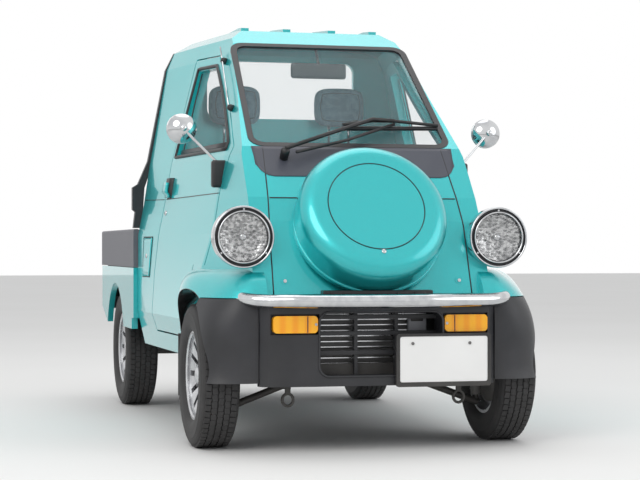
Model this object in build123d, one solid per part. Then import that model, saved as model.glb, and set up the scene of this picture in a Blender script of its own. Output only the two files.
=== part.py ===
from build123d import *
from math import atan2, cos, degrees, radians, sin
import os

os.makedirs("parts", exist_ok=True)

# Micro pickup truck.  Millimetres, +Z up, the nose points to -Y, the vehicle's right side is -X.
# The origin lies on the ground under the middle of the overall length and width.

# ---------------------------------------------------------------- overall sizes
HALF_LENGTH = 1395.0
HALF_BODY = 647.5
ROOF_TOP = 1650.0
FRONT_AXLE_Y = -945.0
WHEELBASE = 1840.0
REAR_AXLE_Y = FRONT_AXLE_Y + WHEELBASE
HALF_TRACK = 555.0
GAP = 6.0
SEAM = 3.0

# ---------------------------------------------------------------- wheels and tyres
TYRE_R = 260.0
TYRE_W = 145.0
TREAD_HALF = 54.0
RIM_R = 162.0
RIM_W = 112.0
RIM_LIP = 6.0
RIM_WALL = 5.0
SPOKES = 12
HUB_R = 34.0
AXLE_BORE_R = 15.0
AXLE_FIT = 0.05
PIN_R = 8.0
AXLE_Z = TYRE_R

# ---------------------------------------------------------------- steering
KINGPIN_X = 475.0
KNUCKLE_R = 20.0
KNUCKLE_LOW = 165.0
KNUCKLE_TOP = 372.0
STRUT_X = 440.0
STRUT_R = 16.0

# ---------------------------------------------------------------- wheel wells
WELL_R = 303.0
WELL_INNER_X = 335.0
LIP_X = 608.0
LIP_HALF_Y = 269.0
LIP_HALF_Z = 302.0
REAR_LIP_HALF_Y = 292.0

# ---------------------------------------------------------------- cab, side view (Y, Z)
FLOOR_Z = 312.0
WALL = 26.0
DOOR_THICK = 46.0
CAB_REAR = 305.0
NOSE_LOW = (-1216.0, 520.0)
NOSE_KNEE = (-1111.0, 821.0)
NOSE_SEAM = (-1059.0, 908.0)
SCREEN_FOOT = (-904.0, 1100.0)
SCREEN_HEAD = (-367.0, 1543.0)
ROOF_FRONT = (-262.0, 1606.0)
ROOF_CROWN = (60.0, 1636.0)
ROOF_REAR = (285.0, 1618.0)
COWL_Z = 985.0
ENGINE_HALF = 225.0
ROOF_SPLIT_Z = 1562.0

# Half widths of the cab at three stations along Y, at the same seven heights.
STATION_Z = (FLOOR_Z, 454.0, 777.0, 905.0, 1070.0, 1495.0, 1568.0)
STATION_X = {
    -1220.0: (432.0, 440.0, 419.0, 405.0, 383.0, 232.0, 180.0),
    -745.0: (570.0, 600.0, 507.0, 487.0, 457.0, 305.0, 250.0),
    0.0: (590.0, 622.0, 586.0, 561.0, 536.0, 442.0, 412.0),
    CAB_REAR: (597.0, 629.0, 628.0, 604.0, 579.0, 503.0, 470.0),
}
ROOF_EDGE_X = 75.0
ROOF_EDGE_Z = 1612.0
CROWN_Z = 1638.0


# ---------------------------------------------------------------- helpers
def block(x0, x1, y0, y1, z0, z1):
    """A box between two corners."""
    return Pos((x0 + x1) / 2, (y0 + y1) / 2, (z0 + z1) / 2) * Box(x1 - x0, y1 - y0, z1 - z0)


def across(points, x0, x1):
    """A side-view outline of (Y, Z) points, extruded across the vehicle."""
    outline = Plane.YZ * Polyline(*points, close=True)
    return Pos(x0, 0, 0) * extrude(make_face(outline), amount=x1 - x0, dir=(1, 0, 0))


def along(points, y0, y1):
    """A front-view outline of (X, Z) points, extruded along the vehicle."""
    outline = Plane.XZ * Polyline(*points, close=True)
    return Pos(0, y0, 0) * extrude(make_face(outline), amount=y1 - y0, dir=(0, 1, 0))


def upright(points, z0, z1):
    """A plan outline of (X, Y) points, extruded upwards."""
    outline = Polyline(*points, close=True)
    return Pos(0, 0, z0) * extrude(make_face(outline), amount=z1 - z0, dir=(0, 0, 1))


def rod(start, end, radius):
    """A round bar between two points."""
    axis = Vector(*end) - Vector(*start)
    return Plane(origin=start, z_dir=axis) * Cylinder(
        radius, axis.length, align=(Align.CENTER, Align.CENTER, Align.MIN))


def disc_x(x0, x1, y, z, radius):
    """A round plug whose axis lies across the vehicle."""
    return rod((x0, y, z), (x1, y, z), radius)


def other_side(shape):
    """The same piece on the other side of the vehicle."""
    return mirror(shape, about=Plane.YZ)


def both(shape):
    """A piece and its mirror image as one list."""
    return [shape, other_side(shape)]


def joined(*shapes):
    """One solid from several that overlap."""
    whole = shapes[0]
    for shape in shapes[1:]:
        whole = whole + shape
    return whole.clean()


def rounded(shape, chosen, radius):
    """Fillet the chosen edges at the largest of a few radii that the shape takes."""
    for size in (radius, radius * 0.7, radius * 0.4, radius * 0.2):
        try:
            result = fillet(chosen, size)
            if result.is_valid:
                return result
        except (ValueError, RuntimeError):
            continue
    return shape


NODES = {}


def keep(node, shape):
    """Note one named piece, which may be the same solid on both sides."""
    solids = shape if isinstance(shape, list) else [shape]
    NODES[node] = [solid for piece in solids for solid in piece.solids()]


# ---------------------------------------------------------------- cab volumes
def station(y, inset):
    """The cab's cross-section at one station, moved in by a wall thickness."""
    widths = [max(x - inset, 40.0) for x in STATION_X[y]]
    heights = list(STATION_Z)
    heights[0] = heights[0] + inset
    edge_x = widths[-1] - ROOF_EDGE_X
    edge_z = ROOF_EDGE_Z - inset
    right = [(x, z) for x, z in zip(widths, heights)]
    left = [(-x, z) for x, z in reversed(right)]
    points = right + [(edge_x, edge_z), (0.0, CROWN_Z - inset), (-edge_x, edge_z)] + left
    return make_face(Plane(origin=(0, y, 0), x_dir=(1, 0, 0), z_dir=(0, -1, 0)) * Polyline(*points, close=True))


def cab_volume(inset):
    """The whole cab as one solid, moved in by a wall thickness."""
    sides = loft([station(y, inset) for y in STATION_X], ruled=True)
    low = FLOOR_Z + inset
    profile = [
        (NOSE_LOW[0] + inset, low),
        (NOSE_LOW[0] + inset, NOSE_LOW[1]),
        (NOSE_KNEE[0] + inset, NOSE_KNEE[1]),
        (NOSE_SEAM[0] + inset, NOSE_SEAM[1]),
        (SCREEN_FOOT[0] + inset * 1.3, SCREEN_FOOT[1]),
        (SCREEN_HEAD[0] + inset * 1.4, SCREEN_HEAD[1] - inset * 0.2),
        (ROOF_FRONT[0] + inset * 0.6, ROOF_FRONT[1] - inset),
        (ROOF_CROWN[0], ROOF_CROWN[1] - inset),
        (ROOF_REAR[0] - inset, ROOF_REAR[1] - inset),
        (CAB_REAR - inset, ROOF_REAR[1] - 25 - inset),
        (CAB_REAR - inset, low),
    ]
    return sides & across(profile, -700, 700)


def well(inner_x, radius):
    """The space that a front wheel needs, on the left."""
    return disc_x(inner_x, 700, FRONT_AXLE_Y, AXLE_Z, radius)


def lip(y, half_y, inner_x):
    """The oval mouth of a wheel arch, on the left."""
    oval = Plane(origin=(inner_x, y, AXLE_Z), x_dir=(0, 1, 0), z_dir=(1, 0, 0)) * Ellipse(half_y, LIP_HALF_Z)
    return extrude(oval, amount=700 - inner_x)


# Door outline, side view, and the sweep that keeps its lower front corner clear of the fender.
HINGE_X = 538.0
HINGE_Y = -762.0
DOOR_SWEEP_R = 150.0
DASH_SWEEP_R = 166.0
SWEEP_HEIGHT = 338.0
DOOR_BOTTOM = 382.0
DOOR_TOP = 1500.0
DOOR_OUTLINE = [
    (-768.0, 560.0), (-770.0, 960.0), (-820.0, 1105.0), (-300.0, DOOR_TOP), (-35.0, DOOR_TOP + 8),
    (-20.0, 1300.0), (5.0, 905.0), (8.0, 620.0), (-28.0, 470.0), (-75.0, DOOR_BOTTOM), (-642.0, DOOR_BOTTOM),
]
WINDOW_OUTLINE = [(-735.0, 1105.0), (-735.0, 1118.0), (-300.0, 1447.0), (-100.0, 1452.0), (-66.0, 1105.0)]


def shrunk(points, amount):
    """A side outline moved in by an even amount."""
    face = make_face(Plane.YZ * Polyline(*points, close=True))
    return offset(face, amount=-amount, kind=Kind.INTERSECTION)


def side_prism(points, amount, x0, x1):
    """A side outline moved in and extruded between two widths on the left."""
    return Pos(x0, 0, 0) * extrude(shrunk(points, amount), amount=x1 - x0, dir=(1, 0, 0))


outer = cab_volume(0.0)
inner = cab_volume(WALL)
door_depth = cab_volume(DOOR_THICK)
skin = outer - inner

sweep_low = Pos(HINGE_X, HINGE_Y, DOOR_BOTTOM - 60) * Cylinder(
    DOOR_SWEEP_R, SWEEP_HEIGHT, align=(Align.CENTER, Align.CENTER, Align.MIN))
sweep_cut = Pos(HINGE_X, HINGE_Y, DOOR_BOTTOM - 60) * Cylinder(
    DOOR_SWEEP_R - GAP, SWEEP_HEIGHT, align=(Align.CENTER, Align.CENTER, Align.MIN))

door_hole = side_prism(DOOR_OUTLINE, 0.0, 150, 700) - sweep_cut
door_body = side_prism(DOOR_OUTLINE, GAP, 150, 700) - sweep_low
window_cut = side_prism(WINDOW_OUTLINE, 0.0, 150, 700)

door = (outer - door_depth) & door_body
door = door - window_cut - lip(FRONT_AXLE_Y, LIP_HALF_Y + GAP, 400)
door = max(door.solids(), key=lambda solid: solid.volume)

# The glass stands in a groove at the middle of the door's thickness.
glass_out = cab_volume(14.0)
glass_in = cab_volume(19.0)
door_glass = (glass_out - glass_in) & side_prism(WINDOW_OUTLINE, -0.0, 150, 700)
door_glass = max(door_glass.solids(), key=lambda solid: solid.volume)

# ---------------------------------------------------------------- cab shell, nose, roof, glass
NOSE_HALF_TOP = 366.0
NOSE_HALF_LOW = 368.0
SCREEN_HALF_FOOT = 384.0
SCREEN_HALF_HEAD = 352.0
REAR_GLASS_HALF = 330.0
REAR_GLASS_Z = (1290.0, 1540.0)

nose_zone = along([(-NOSE_HALF_LOW, 200), (NOSE_HALF_LOW, 200), (NOSE_HALF_TOP, COWL_Z), (-NOSE_HALF_TOP, COWL_Z)],
                  -1300, -880)
cowl_zone = along([(-SCREEN_HALF_FOOT, COWL_Z + 45), (-340, COWL_Z + SEAM), (340, COWL_Z + SEAM),
                   (SCREEN_HALF_FOOT, COWL_Z + 45), (SCREEN_HALF_FOOT, 1098), (-SCREEN_HALF_FOOT, 1098)],
                  -1300, -860)
screen_zone = along([(-SCREEN_HALF_FOOT, 1101), (SCREEN_HALF_FOOT, 1101), (SCREEN_HALF_HEAD, 1528),
                     (-SCREEN_HALF_HEAD, 1528)], -1300, -300)
screen_zone = rounded(screen_zone, screen_zone.edges().filter_by(Axis.Y), 45)
roof_zone = block(-700, 700, -500, 400, ROOF_SPLIT_Z, 1700)
rear_zone = block(-REAR_GLASS_HALF, REAR_GLASS_HALF, 200, 400, *REAR_GLASS_Z)
rear_zone = rounded(rear_zone, rear_zone.edges().filter_by(Axis.Y), 40)
front_open = block(-WELL_INNER_X - 30, WELL_INNER_X + 30, -1300, -1100, 200, 545)

cowl = (skin & cowl_zone)
windscreen = (cab_volume(4.0) - cab_volume(10.0)) & screen_zone
rear_glass = (cab_volume(6.0) - cab_volume(12.0)) & rear_zone
roof = skin & roof_zone
roof_ribs = [block(x - 16, x + 16, -235, 250, 1560, 1700) & cab_volume(CROWN_Z - ROOF_TOP) for x in (-270, -95, 95, 270)]
cab_rear_wall_step = block(-700, 700, CAB_REAR - 1, CAB_REAR + 60, 300, 1700)

shell = skin - door_hole - other_side(door_hole) - nose_zone - cowl_zone - screen_zone - rear_zone
shell = shell - well(WELL_INNER_X, WELL_R) - other_side(well(WELL_INNER_X, WELL_R))
shell = shell - block(-WELL_INNER_X, WELL_INNER_X, -1300, -1192, 200, 560)
for rib in roof_ribs:
    shell = shell + (rib - inner)
pillar_cut = block(-700, 700, -800, 400, 200, FLOOR_Z + WALL + 4) & block(-540, 540, -640, 240, 200, 400)
cab_shell = max((shell - pillar_cut).solids(), key=lambda solid: solid.volume)
keep("cab_shell", cab_shell)

nose = (skin & nose_zone) - block(-700, 700, -1300, -1100, 200, 548)
keep("nose_panel", max(nose.solids(), key=lambda solid: solid.volume))
keep("cowl_panel", max(cowl.solids(), key=lambda solid: solid.volume))
keep("cab_glass", [windscreen, rear_glass])

floor_pan = block(-538, 538, -638, 238, FLOOR_Z, FLOOR_Z + 24)
toe_board = across([(-1180, 560), (-1172, 560), (-940, FLOOR_Z + 24), (-638, FLOOR_Z + 24), (-638, FLOOR_Z),
                    (-950, FLOOR_Z)], -326, 326)
seat_step = across([(-250, FLOOR_Z + 24), (-235, 545), (238, 545), (238, 520), (-215, 520), (-228, FLOOR_Z + 24)],
                   -520, 520)
floor_pan = floor_pan - block(-ENGINE_HALF - 12, ENGINE_HALF + 12, -222, 237, FLOOR_Z - 5, FLOOR_Z + 30)
keep("floor_pan", joined(floor_pan, toe_board, seat_step))

# ---------------------------------------------------------------- front fenders, claddings and wells
CLAD_TOP = 545.0
CLAD_LOW = 250.0
CLAD_THICK = 11.0
TYRE_ROOM = 5.0
# Plan outlines of the left fender and its cladding at five heights, outer side, front to rear.
FENDER_PLANS = {
    235.0: [(436, -1260), (490, -1267), (540, -1261), (588, -1243), (621, -1214), (638, -1160), (645, -1080),
            (647.5, -945), (644, -840), (632, -750), (610, -668)],
    400.0: [(436, -1260), (488, -1265), (536, -1256), (580, -1234), (613, -1198), (635, -1140), (645, -1060),
            (647.5, -945), (645, -840), (632, -750), (610, -668)],
    545.0: [(436, -1248), (475, -1248), (512, -1236), (546, -1210), (578, -1168), (606, -1105), (630, -1030),
            (645, -945), (646, -840), (632, -750), (608, -668)],
    600.0: [(436, -1222), (462, -1218), (488, -1204), (516, -1178), (544, -1134), (574, -1075), (602, -1010),
            (624, -940), (632, -850), (620, -760), (600, -668)],
    648.0: [(430, -1120), (440, -1117), (452, -1108), (468, -1090), (486, -1062), (506, -1020), (524, -970),
            (538, -915), (542, -840), (534, -755), (520, -668)],
}
FENDER_ROOT_X = 400.0


def fender_form():
    """The outer form of the left front fender with its cladding."""
    sections = []
    for z, points in FENDER_PLANS.items():
        run = Spline(*[(x, y, z) for x, y in points])
        back = Polyline((*points[-1], z), (FENDER_ROOT_X, points[-1][1], z), (FENDER_ROOT_X, points[0][1], z),
                        (*points[0], z))
        sections.append(make_face([*run.edges(), *back.edges()]))
    return loft(sections)


def steered_tyre_space():
    """The room that the left front tyre sweeps as it is steered: its tread and its sidewalls."""
    offset_x = HALF_TRACK - KINGPIN_X
    turned = []
    for angle in range(-30, 31, 5):
        for half_width, radius in ((TREAD_HALF, TYRE_R), (TREAD_HALF + 13, TYRE_R - 10), (TYRE_W / 2, TYRE_R - 24)):
            tyre = disc_x(offset_x - half_width - TYRE_ROOM, offset_x + half_width + TYRE_ROOM, 0, 0,
                          radius + TYRE_ROOM)
            turned.append(Pos(KINGPIN_X, FRONT_AXLE_Y, AXLE_Z) * Rot(0, 0, angle) * tyre)
    return turned


barrel = fender_form()
fender = barrel - block(300, 700, -1320, -1085, 200, CLAD_TOP + SEAM) - block(300, 700, -1320, -600, 200, 300)
fender = fender - well(WELL_INNER_X + 10, WELL_R + 12) - lip(FRONT_AXLE_Y, LIP_HALF_Y, 400) - outer
fender = fender - (door_body & cab_volume(-40.0)) - block(500, 700, -668, -500, 200, 700)
fender = max(fender.solids(), key=lambda solid: solid.volume)
keep("front_fenders", both(fender))

cladding = barrel & block(436, 700, -1320, -1082, CLAD_LOW, CLAD_TOP)
cladding = cladding - (Pos(-CLAD_THICK, CLAD_THICK, 0) * barrel & block(300, 700, -1320, -900, 200, CLAD_TOP - 12))
cladding = cladding - lip(FRONT_AXLE_Y, LIP_HALF_Y, 400)
for tyre in steered_tyre_space():
    cladding = cladding - tyre
cladding = max(cladding.solids(), key=lambda solid: solid.volume)
keep("fender_claddings", both(cladding))

housing = disc_x(WELL_INNER_X - 6, 600, FRONT_AXLE_Y, AXLE_Z, WELL_R + 7) - well(WELL_INNER_X, WELL_R)
housing = housing - block(300, 700, -1320, -600, -100, 300) - block(430, 700, -1320, -1180, 200, 560)
housing = housing - block(560, 700, -800, -600, 200, 700)
keep("wheel_housings", both(max(housing.solids(), key=lambda solid: solid.volume)))

# ---------------------------------------------------------------- front bumper, bar, grille, lamps
BUMPER_HALF = 433.0
BUMPER_FACE = -HALF_LENGTH + 104.0
BUMPER_LOW = 238.0
BUMPER_TOP = 548.0
GRILLE_HALF = 225.0
GRILLE_Z = (274.0, 497.0)
INDICATOR_X = 313.0
INDICATOR_Z = 456.0
INDICATOR_W = 160.0
INDICATOR_H = 60.0

bumper = upright([(-BUMPER_HALF, -1256), (-405, BUMPER_FACE + 6), (-250, BUMPER_FACE - 8), (250, BUMPER_FACE - 8),
                  (405, BUMPER_FACE + 6), (BUMPER_HALF, -1256), (BUMPER_HALF, -1224), (-BUMPER_HALF, -1224)],
                 BUMPER_LOW, BUMPER_TOP)
grille_hole = block(-GRILLE_HALF, GRILLE_HALF, -1320, -1200, *GRILLE_Z)
grille_hole = rounded(grille_hole, grille_hole.edges().filter_by(Axis.Y), 35)
bumper = bumper - grille_hole
lamp_pockets = [block(x - INDICATOR_W / 2 - 6, x + INDICATOR_W / 2 + 6, -1320, -1268, INDICATOR_Z - INDICATOR_H / 2 - 6,
                      INDICATOR_Z + INDICATOR_H / 2 + 6) for x in (-INDICATOR_X, INDICATOR_X)]
for pocket in lamp_pockets:
    bumper = bumper - pocket
PLATE_X = 223.0
PLATE_Z = 330.0
PLATE_W = 330.0
PLATE_H = 165.0
PLATE_Y = BUMPER_FACE - 31.0
bumper = joined(bumper, block(PLATE_X - 150, PLATE_X + 150, PLATE_Y + 10, BUMPER_FACE + 1, PLATE_Z + 20, PLATE_Z + 70),
                block(250, 380, PLATE_Y + 10, BUMPER_FACE + 1, PLATE_Z - 80, PLATE_Z + 70))
keep("front_bumper", bumper)
indicators = []
for x in (-INDICATOR_X, INDICATOR_X):
    lamp = block(x - INDICATOR_W / 2, x + INDICATOR_W / 2, BUMPER_FACE - 11, BUMPER_FACE + 23,
                 INDICATOR_Z - INDICATOR_H / 2, INDICATOR_Z + INDICATOR_H / 2)
    indicators.append(rounded(lamp, lamp.edges().filter_by(Axis.Y), 14))
keep("front_indicators", indicators)

plate = block(PLATE_X - PLATE_W / 2, PLATE_X + PLATE_W / 2, PLATE_Y, PLATE_Y + 10, PLATE_Z - PLATE_H / 2,
              PLATE_Z + PLATE_H / 2)
REAR_PLATE_Z = 470.0
rear_plate = block(-PLATE_W / 2, PLATE_W / 2, HALF_LENGTH - 55, HALF_LENGTH - 49, REAR_PLATE_Z - PLATE_H / 2,
                   REAR_PLATE_Z + PLATE_H / 2)

grille_bars = [block(-GRILLE_HALF - 8, GRILLE_HALF + 8, BUMPER_FACE + 35, BUMPER_FACE + 65, z - 7, z + 7)
               for z in (352, 420, 478)]
grille_bars += [block(x - 6, x + 6, BUMPER_FACE + 39, BUMPER_FACE + 65, 262, 500) for x in (-75, 75)]
frame_bars = [block(x - 8, x + 8, BUMPER_FACE + 41, BUMPER_FACE + 67, 262, 505)
              for x in (-GRILLE_HALF - 8, GRILLE_HALF + 8)]
grille = joined(*grille_bars, *frame_bars)
keep("grille", Pos(0, 24, 0) * grille)
radiator = block(-205, 205, -1175, -1135, 285, 500)
keep("radiator", joined(radiator, block(-205, 205, -1182, -1128, 498, 520), block(-205, 205, -1182, -1128, 268, 287)))

BAR_R = 24.0
BAR_Z = 538.0
BAR_Y = -HALF_LENGTH + BAR_R
BAR_FOOT_Y = -HALF_LENGTH + 173.0
BAR_BEND = (385.0, -HALF_LENGTH + 95.0)
bar_bow = ThreePointArc((-BAR_BEND[0], BAR_BEND[1], BAR_Z), (0, BAR_Y, BAR_Z), (BAR_BEND[0], BAR_BEND[1], BAR_Z))
bar_hook = Spline((BAR_BEND[0], BAR_BEND[1], BAR_Z), (456, BAR_BEND[1] + 38, BAR_Z + 3),
                  (490, BAR_BEND[1] + 98, BAR_Z + 11), (466, BAR_BEND[1] + 156, BAR_Z + 24),
                  tangents=[bar_bow % 1, (-0.75, 0.62, 0.22)])
bar_path = Wire([*other_side(bar_hook).edges(), *bar_bow.edges(), *bar_hook.edges()])
bar = sweep(Plane(origin=bar_path @ 0, z_dir=bar_path % 0) * Circle(BAR_R), path=bar_path)
stays = [block(x - 14, x + 14, BAR_Y + 22, BAR_FOOT_Y, BAR_Z - 6, BAR_Z + 6) for x in (-200, 200)]
keep("bumper_bar", joined(bar, *stays))

LAMP = (475.0, -1174.0, 762.0)
LAMP_LENS_R = 90.0
LAMP_RING_R = 111.0
bowl = Pos(*LAMP) * Rot(90, 0, 0) * (Cylinder(LAMP_RING_R, 30) - Pos(0, 0, 10) * Cylinder(LAMP_LENS_R + 1, 30))
bowl_back = Pos(LAMP[0], LAMP[1], LAMP[2]) * Rot(-90, 0, 0) * Pos(0, 0, 52) * Cone(
    LAMP_RING_R - 6, 62, 78)
bowl = joined(bowl, bowl_back) - outer
bowl = max(bowl.solids(), key=lambda solid: solid.volume)
keep("headlamp_bowls", both(bowl))
lens = Pos(LAMP[0], LAMP[1] - 9.5, LAMP[2]) * Rot(90, 0, 0) * Cylinder(LAMP_LENS_R, 27)
lens = lens & (Pos(LAMP[0], LAMP[1] + 170, LAMP[2]) * Sphere(205))
keep("headlamp_lenses", both(lens))

# ---------------------------------------------------------------- spare wheel cover
COVER_TILT = 29.6
COVER_FACE = (0.0, -1234.0, 874.0)
COVER_R = 275.0
COVER_DEPTH = 150.0
COVER_DISC_R = 177.0
cover = Cylinder(COVER_R, COVER_DEPTH, align=(Align.CENTER, Align.CENTER, Align.MAX))
cover = rounded(cover, cover.edges().sort_by(Axis.Z)[-1:], 62)
groove = Pos(0, 0, -3) * (Cylinder(COVER_DISC_R + 3, 8, align=(Align.CENTER, Align.CENTER, Align.MIN))
                          - Cylinder(COVER_DISC_R, 8, align=(Align.CENTER, Align.CENTER, Align.MIN)))
base = Pos(0, 0, -COVER_DEPTH - 4) * Cylinder(COVER_R + 6, 16, align=(Align.CENTER, Align.CENTER, Align.MIN))
cover = joined(cover - groove, base)
cover = Pos(*COVER_FACE) * Rot(90 - COVER_TILT, 0, 0) * cover
keep("spare_cover", max((cover - outer).solids(), key=lambda solid: solid.volume))

# ---------------------------------------------------------------- cargo bed
BED_FRONT = CAB_REAR + 6.0
BED_REAR = HALF_LENGTH - 4.0
BED_HALF = HALF_BODY
BED_TOP = 806.0
BED_FLOOR = 592.0
BED_WALL = 34.0
BAND_LOW = 641.0
GATE_THICK = 28.0
BED_SKIRT = 372.0
TAIL_RISE = (1040.0, 455.0)

bed_floor = block(-BED_HALF + 20, BED_HALF - 20, BED_FRONT, BED_REAR - 30, BED_FLOOR - 16, BED_FLOOR)
bed_head = block(-BED_HALF + 20, BED_HALF - 20, BED_FRONT, BED_FRONT + 24, BED_FLOOR - 16, BED_TOP - 4)
liners = [block(x - 8, x + 8, BED_FRONT, BED_REAR - 44, BED_FLOOR - 16, BED_TOP - 8)
          for x in (-BED_HALF + BED_WALL - 2, BED_HALF - BED_WALL + 2)]
floor_ribs = [block(x - 12, x + 12, BED_FRONT + 24, BED_REAR - 44, BED_FLOOR - 1, BED_FLOOR + 6)
              for x in (-450, -300, -150, 0, 150, 300, 450)]
tail_panel = block(-BED_HALF + 20, BED_HALF - 20, BED_REAR - 56, BED_REAR - 30, 430, BED_FLOOR - 8)
GATE_HINGE = (BED_REAR - 10.0, BED_FLOOR + 6.0)
GATE_PIN_R = 5.0
gate_brackets = [joined(block(x - 7, x + 7, BED_REAR - 40, BED_REAR - 1, BED_FLOOR - 8, BED_FLOOR + 15),
                        rod((x, *GATE_HINGE), (x + 40, *GATE_HINGE), GATE_PIN_R)) for x in (-400, 385)]
keep("cargo_bed", joined(bed_floor, bed_head, *liners, *floor_ribs, tail_panel, *gate_brackets))

side_low = block(BED_HALF - 26, BED_HALF, BED_FRONT, BED_REAR - 6, BED_SKIRT, BAND_LOW - SEAM)
side_low = rounded(side_low, side_low.edges().filter_by(Axis.Z).sort_by(Axis.Y)[-2:][-1:], 18)
side_low = side_low - across([(TAIL_RISE[0] + 110, 300), (TAIL_RISE[0] + 130, BED_SKIRT), (BED_REAR + 10, TAIL_RISE[1]),
                              (BED_REAR + 10, 300)], 500, 700)
side_low = side_low - lip(REAR_AXLE_Y, REAR_LIP_HALF_Y, 400) - block(500, 700, BED_FRONT - 10, 360, 300, 420)
corner_post = block(BED_HALF - 110, BED_HALF - 20, BED_REAR - 30, BED_REAR - 4, TAIL_RISE[1], BED_FLOOR - 12)
side_low = joined(side_low, corner_post) - block(BED_HALF - 95, BED_HALF - 37, BED_REAR - 14, BED_REAR + 10, 466, 576)
keep("bed_sides", both(side_low))
band = block(BED_HALF - 26, BED_HALF + 0, BED_FRONT, BED_REAR - 6, BAND_LOW, BED_TOP)
band_edge = band.edges().filter_by(Axis.Y).sort_by(Axis.Z)[-2:]
band = rounded(band, band_edge, 9)
keep("bed_bands", both(band))
tail_lamp = block(BED_HALF - 94, BED_HALF - 38, BED_REAR - 13.9, BED_REAR, 467, 575)
keep("tail_lamps", both(rounded(tail_lamp, tail_lamp.edges().filter_by(Axis.Y), 8)))
gate_half = BED_HALF - 26 - GAP - 6
gate = block(-gate_half, gate_half, BED_REAR - 6 - GATE_THICK, BED_REAR - 6, BED_FLOOR + 12, BED_TOP)
gate = rounded(gate, gate.edges().filter_by(Axis.X).sort_by(Axis.Z)[-2:], 8)
gate_ribs = [block(-gate_half + 40, gate_half - 40, BED_REAR - 7, BED_REAR - 1, z - 12, z + 12) for z in (660, 740)]
gate = joined(gate, *gate_ribs)
for x in (-400, 385):
    gate = gate - block(x - 14, x + 46, BED_REAR - 60, BED_REAR + 20, BED_FLOOR, BED_FLOOR + 30)
    lug = block(x + 16, x + 36, BED_REAR - 20, BED_REAR - 6, BED_FLOOR + 6, BED_FLOOR + 40)
    lug = joined(lug, disc_x(x + 16, x + 36, *GATE_HINGE, 11))
    gate = gate + (lug - disc_x(x, x + 60, *GATE_HINGE, GATE_PIN_R + AXLE_FIT))
keep("tailgate", gate)
rear_bar = block(-430, 430, BED_REAR - 40, BED_REAR + 4, 400, 448)
rear_bar = rounded(rear_bar, rear_bar.edges().filter_by(Axis.X), 10)
bar_arms = [block(x - 20, x + 20, BED_REAR - 80, BED_REAR - 30, 404, 444) for x in (-270, 270)]
plate_arm = block(-60, 60, BED_REAR - 32, BED_REAR + 0, 520, 560)
rear_plate = block(-PLATE_W / 2, PLATE_W / 2, BED_REAR - 30, BED_REAR - 22, 452, 452 + PLATE_H - 35)
keep("number_plates", [plate, rear_plate])
guard_outline = [(-8, 810), (0, 810), (-8, 880), (4, 890), (4, 985), (-20, 1000), (-63, 1100), (-140, 1495),
                 (-178, 1570), (-193, 1562), (-160, 1490), (-88, 1100), (-48, 985), (-36, 800), (-36, 640)]
guard = along([(HALF_BODY + 0.5 + x, z) for x, z in guard_outline], CAB_REAR, CAB_REAR + 34)
keep("cab_rear_guards", both(guard - block(600, 700, CAB_REAR, BED_FRONT + 60, 600, BED_TOP + 4)))

# ---------------------------------------------------------------- chassis, engine, axles
RAIL_X = 270.0
RAIL_HALF = 25.0
RAIL_FRONT = -HALF_LENGTH + 175.0
RAIL_REAR = BED_REAR - 42.0
rail = across([(RAIL_FRONT, 262), (RAIL_FRONT, 322), (-640, 312), (150, 312), (420, 500), (RAIL_REAR - 49, 560),
               (RAIL_REAR, 560), (RAIL_REAR, 430), (RAIL_REAR - 59, 470), (450, 430), (170, 250), (-640, 250)],
              RAIL_X - RAIL_HALF, RAIL_X + RAIL_HALF)
cross_bars = [block(-RAIL_X, RAIL_X, y - 20, y + 20, z - 20, z + 20)
              for y, z in ((RAIL_FRONT + 30, 292), (FRONT_AXLE_Y, 285), (-640, 284), (130, 284), (460, 470),
                           (RAIL_REAR - 149, 520))]
bed_beams = [block(-BED_HALF + 30, BED_HALF - 30, y - 18, y + 18, 490, BED_FLOOR - 16) for y in (440, 1270)]
bed_beams += [block(-RAIL_X, RAIL_X, y - 18, y + 18, 500, BED_FLOOR - 16) for y in (700, 1090)]
chassis = joined(rail, other_side(rail), *cross_bars, *bed_beams, *bar_arms, rear_bar)
keep("chassis_frame", chassis)

strut = joined(rod((STRUT_X, FRONT_AXLE_Y, 405), (STRUT_X - 18, FRONT_AXLE_Y, 585), STRUT_R + 6),
               block(RAIL_X, STRUT_X + 10, FRONT_AXLE_Y - 15, FRONT_AXLE_Y + 15, 560, 580),
               block(RAIL_X, RAIL_X + 40, FRONT_AXLE_Y - 15, FRONT_AXLE_Y + 15, 300, 575))
low_arm = joined(rod((RAIL_X + 5, FRONT_AXLE_Y, 218), (KINGPIN_X + 4, FRONT_AXLE_Y, 142), 13),
                 rod((KINGPIN_X, FRONT_AXLE_Y, 135), (KINGPIN_X, FRONT_AXLE_Y, 195), PIN_R),
                 block(RAIL_X - 20, RAIL_X + 20, FRONT_AXLE_Y - 18, FRONT_AXLE_Y + 18, 205, 262))
suspension = joined(strut, low_arm, block(RAIL_X, RAIL_X + 30, FRONT_AXLE_Y - 15, FRONT_AXLE_Y + 15, 215, 310))
keep("front_suspension", both(suspension))
keep("engine_block", block(-ENGINE_HALF, ENGINE_HALF, -205, 225, 262, 519.7))
axle = joined(rod((-458, REAR_AXLE_Y, AXLE_Z), (458, REAR_AXLE_Y, AXLE_Z), 30),
              disc_x(-48, 48, REAR_AXLE_Y, AXLE_Z, 88), disc_x(-75, 75, REAR_AXLE_Y, AXLE_Z, 62))
stub = rod((450, REAR_AXLE_Y, AXLE_Z), (HALF_TRACK + 8, REAR_AXLE_Y, AXLE_Z), AXLE_BORE_R - AXLE_FIT)
spring = across([(REAR_AXLE_Y - 380, 430), (REAR_AXLE_Y - 370, 455), (REAR_AXLE_Y, 330), (REAR_AXLE_Y + 370, 475),
                 (REAR_AXLE_Y + 385, 450), (REAR_AXLE_Y, 285)], 325, 375)
shackles = [block(RAIL_X, 350, y - 15, y + 15, 425, 475) for y in (REAR_AXLE_Y - 370, REAR_AXLE_Y + 370)]
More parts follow.
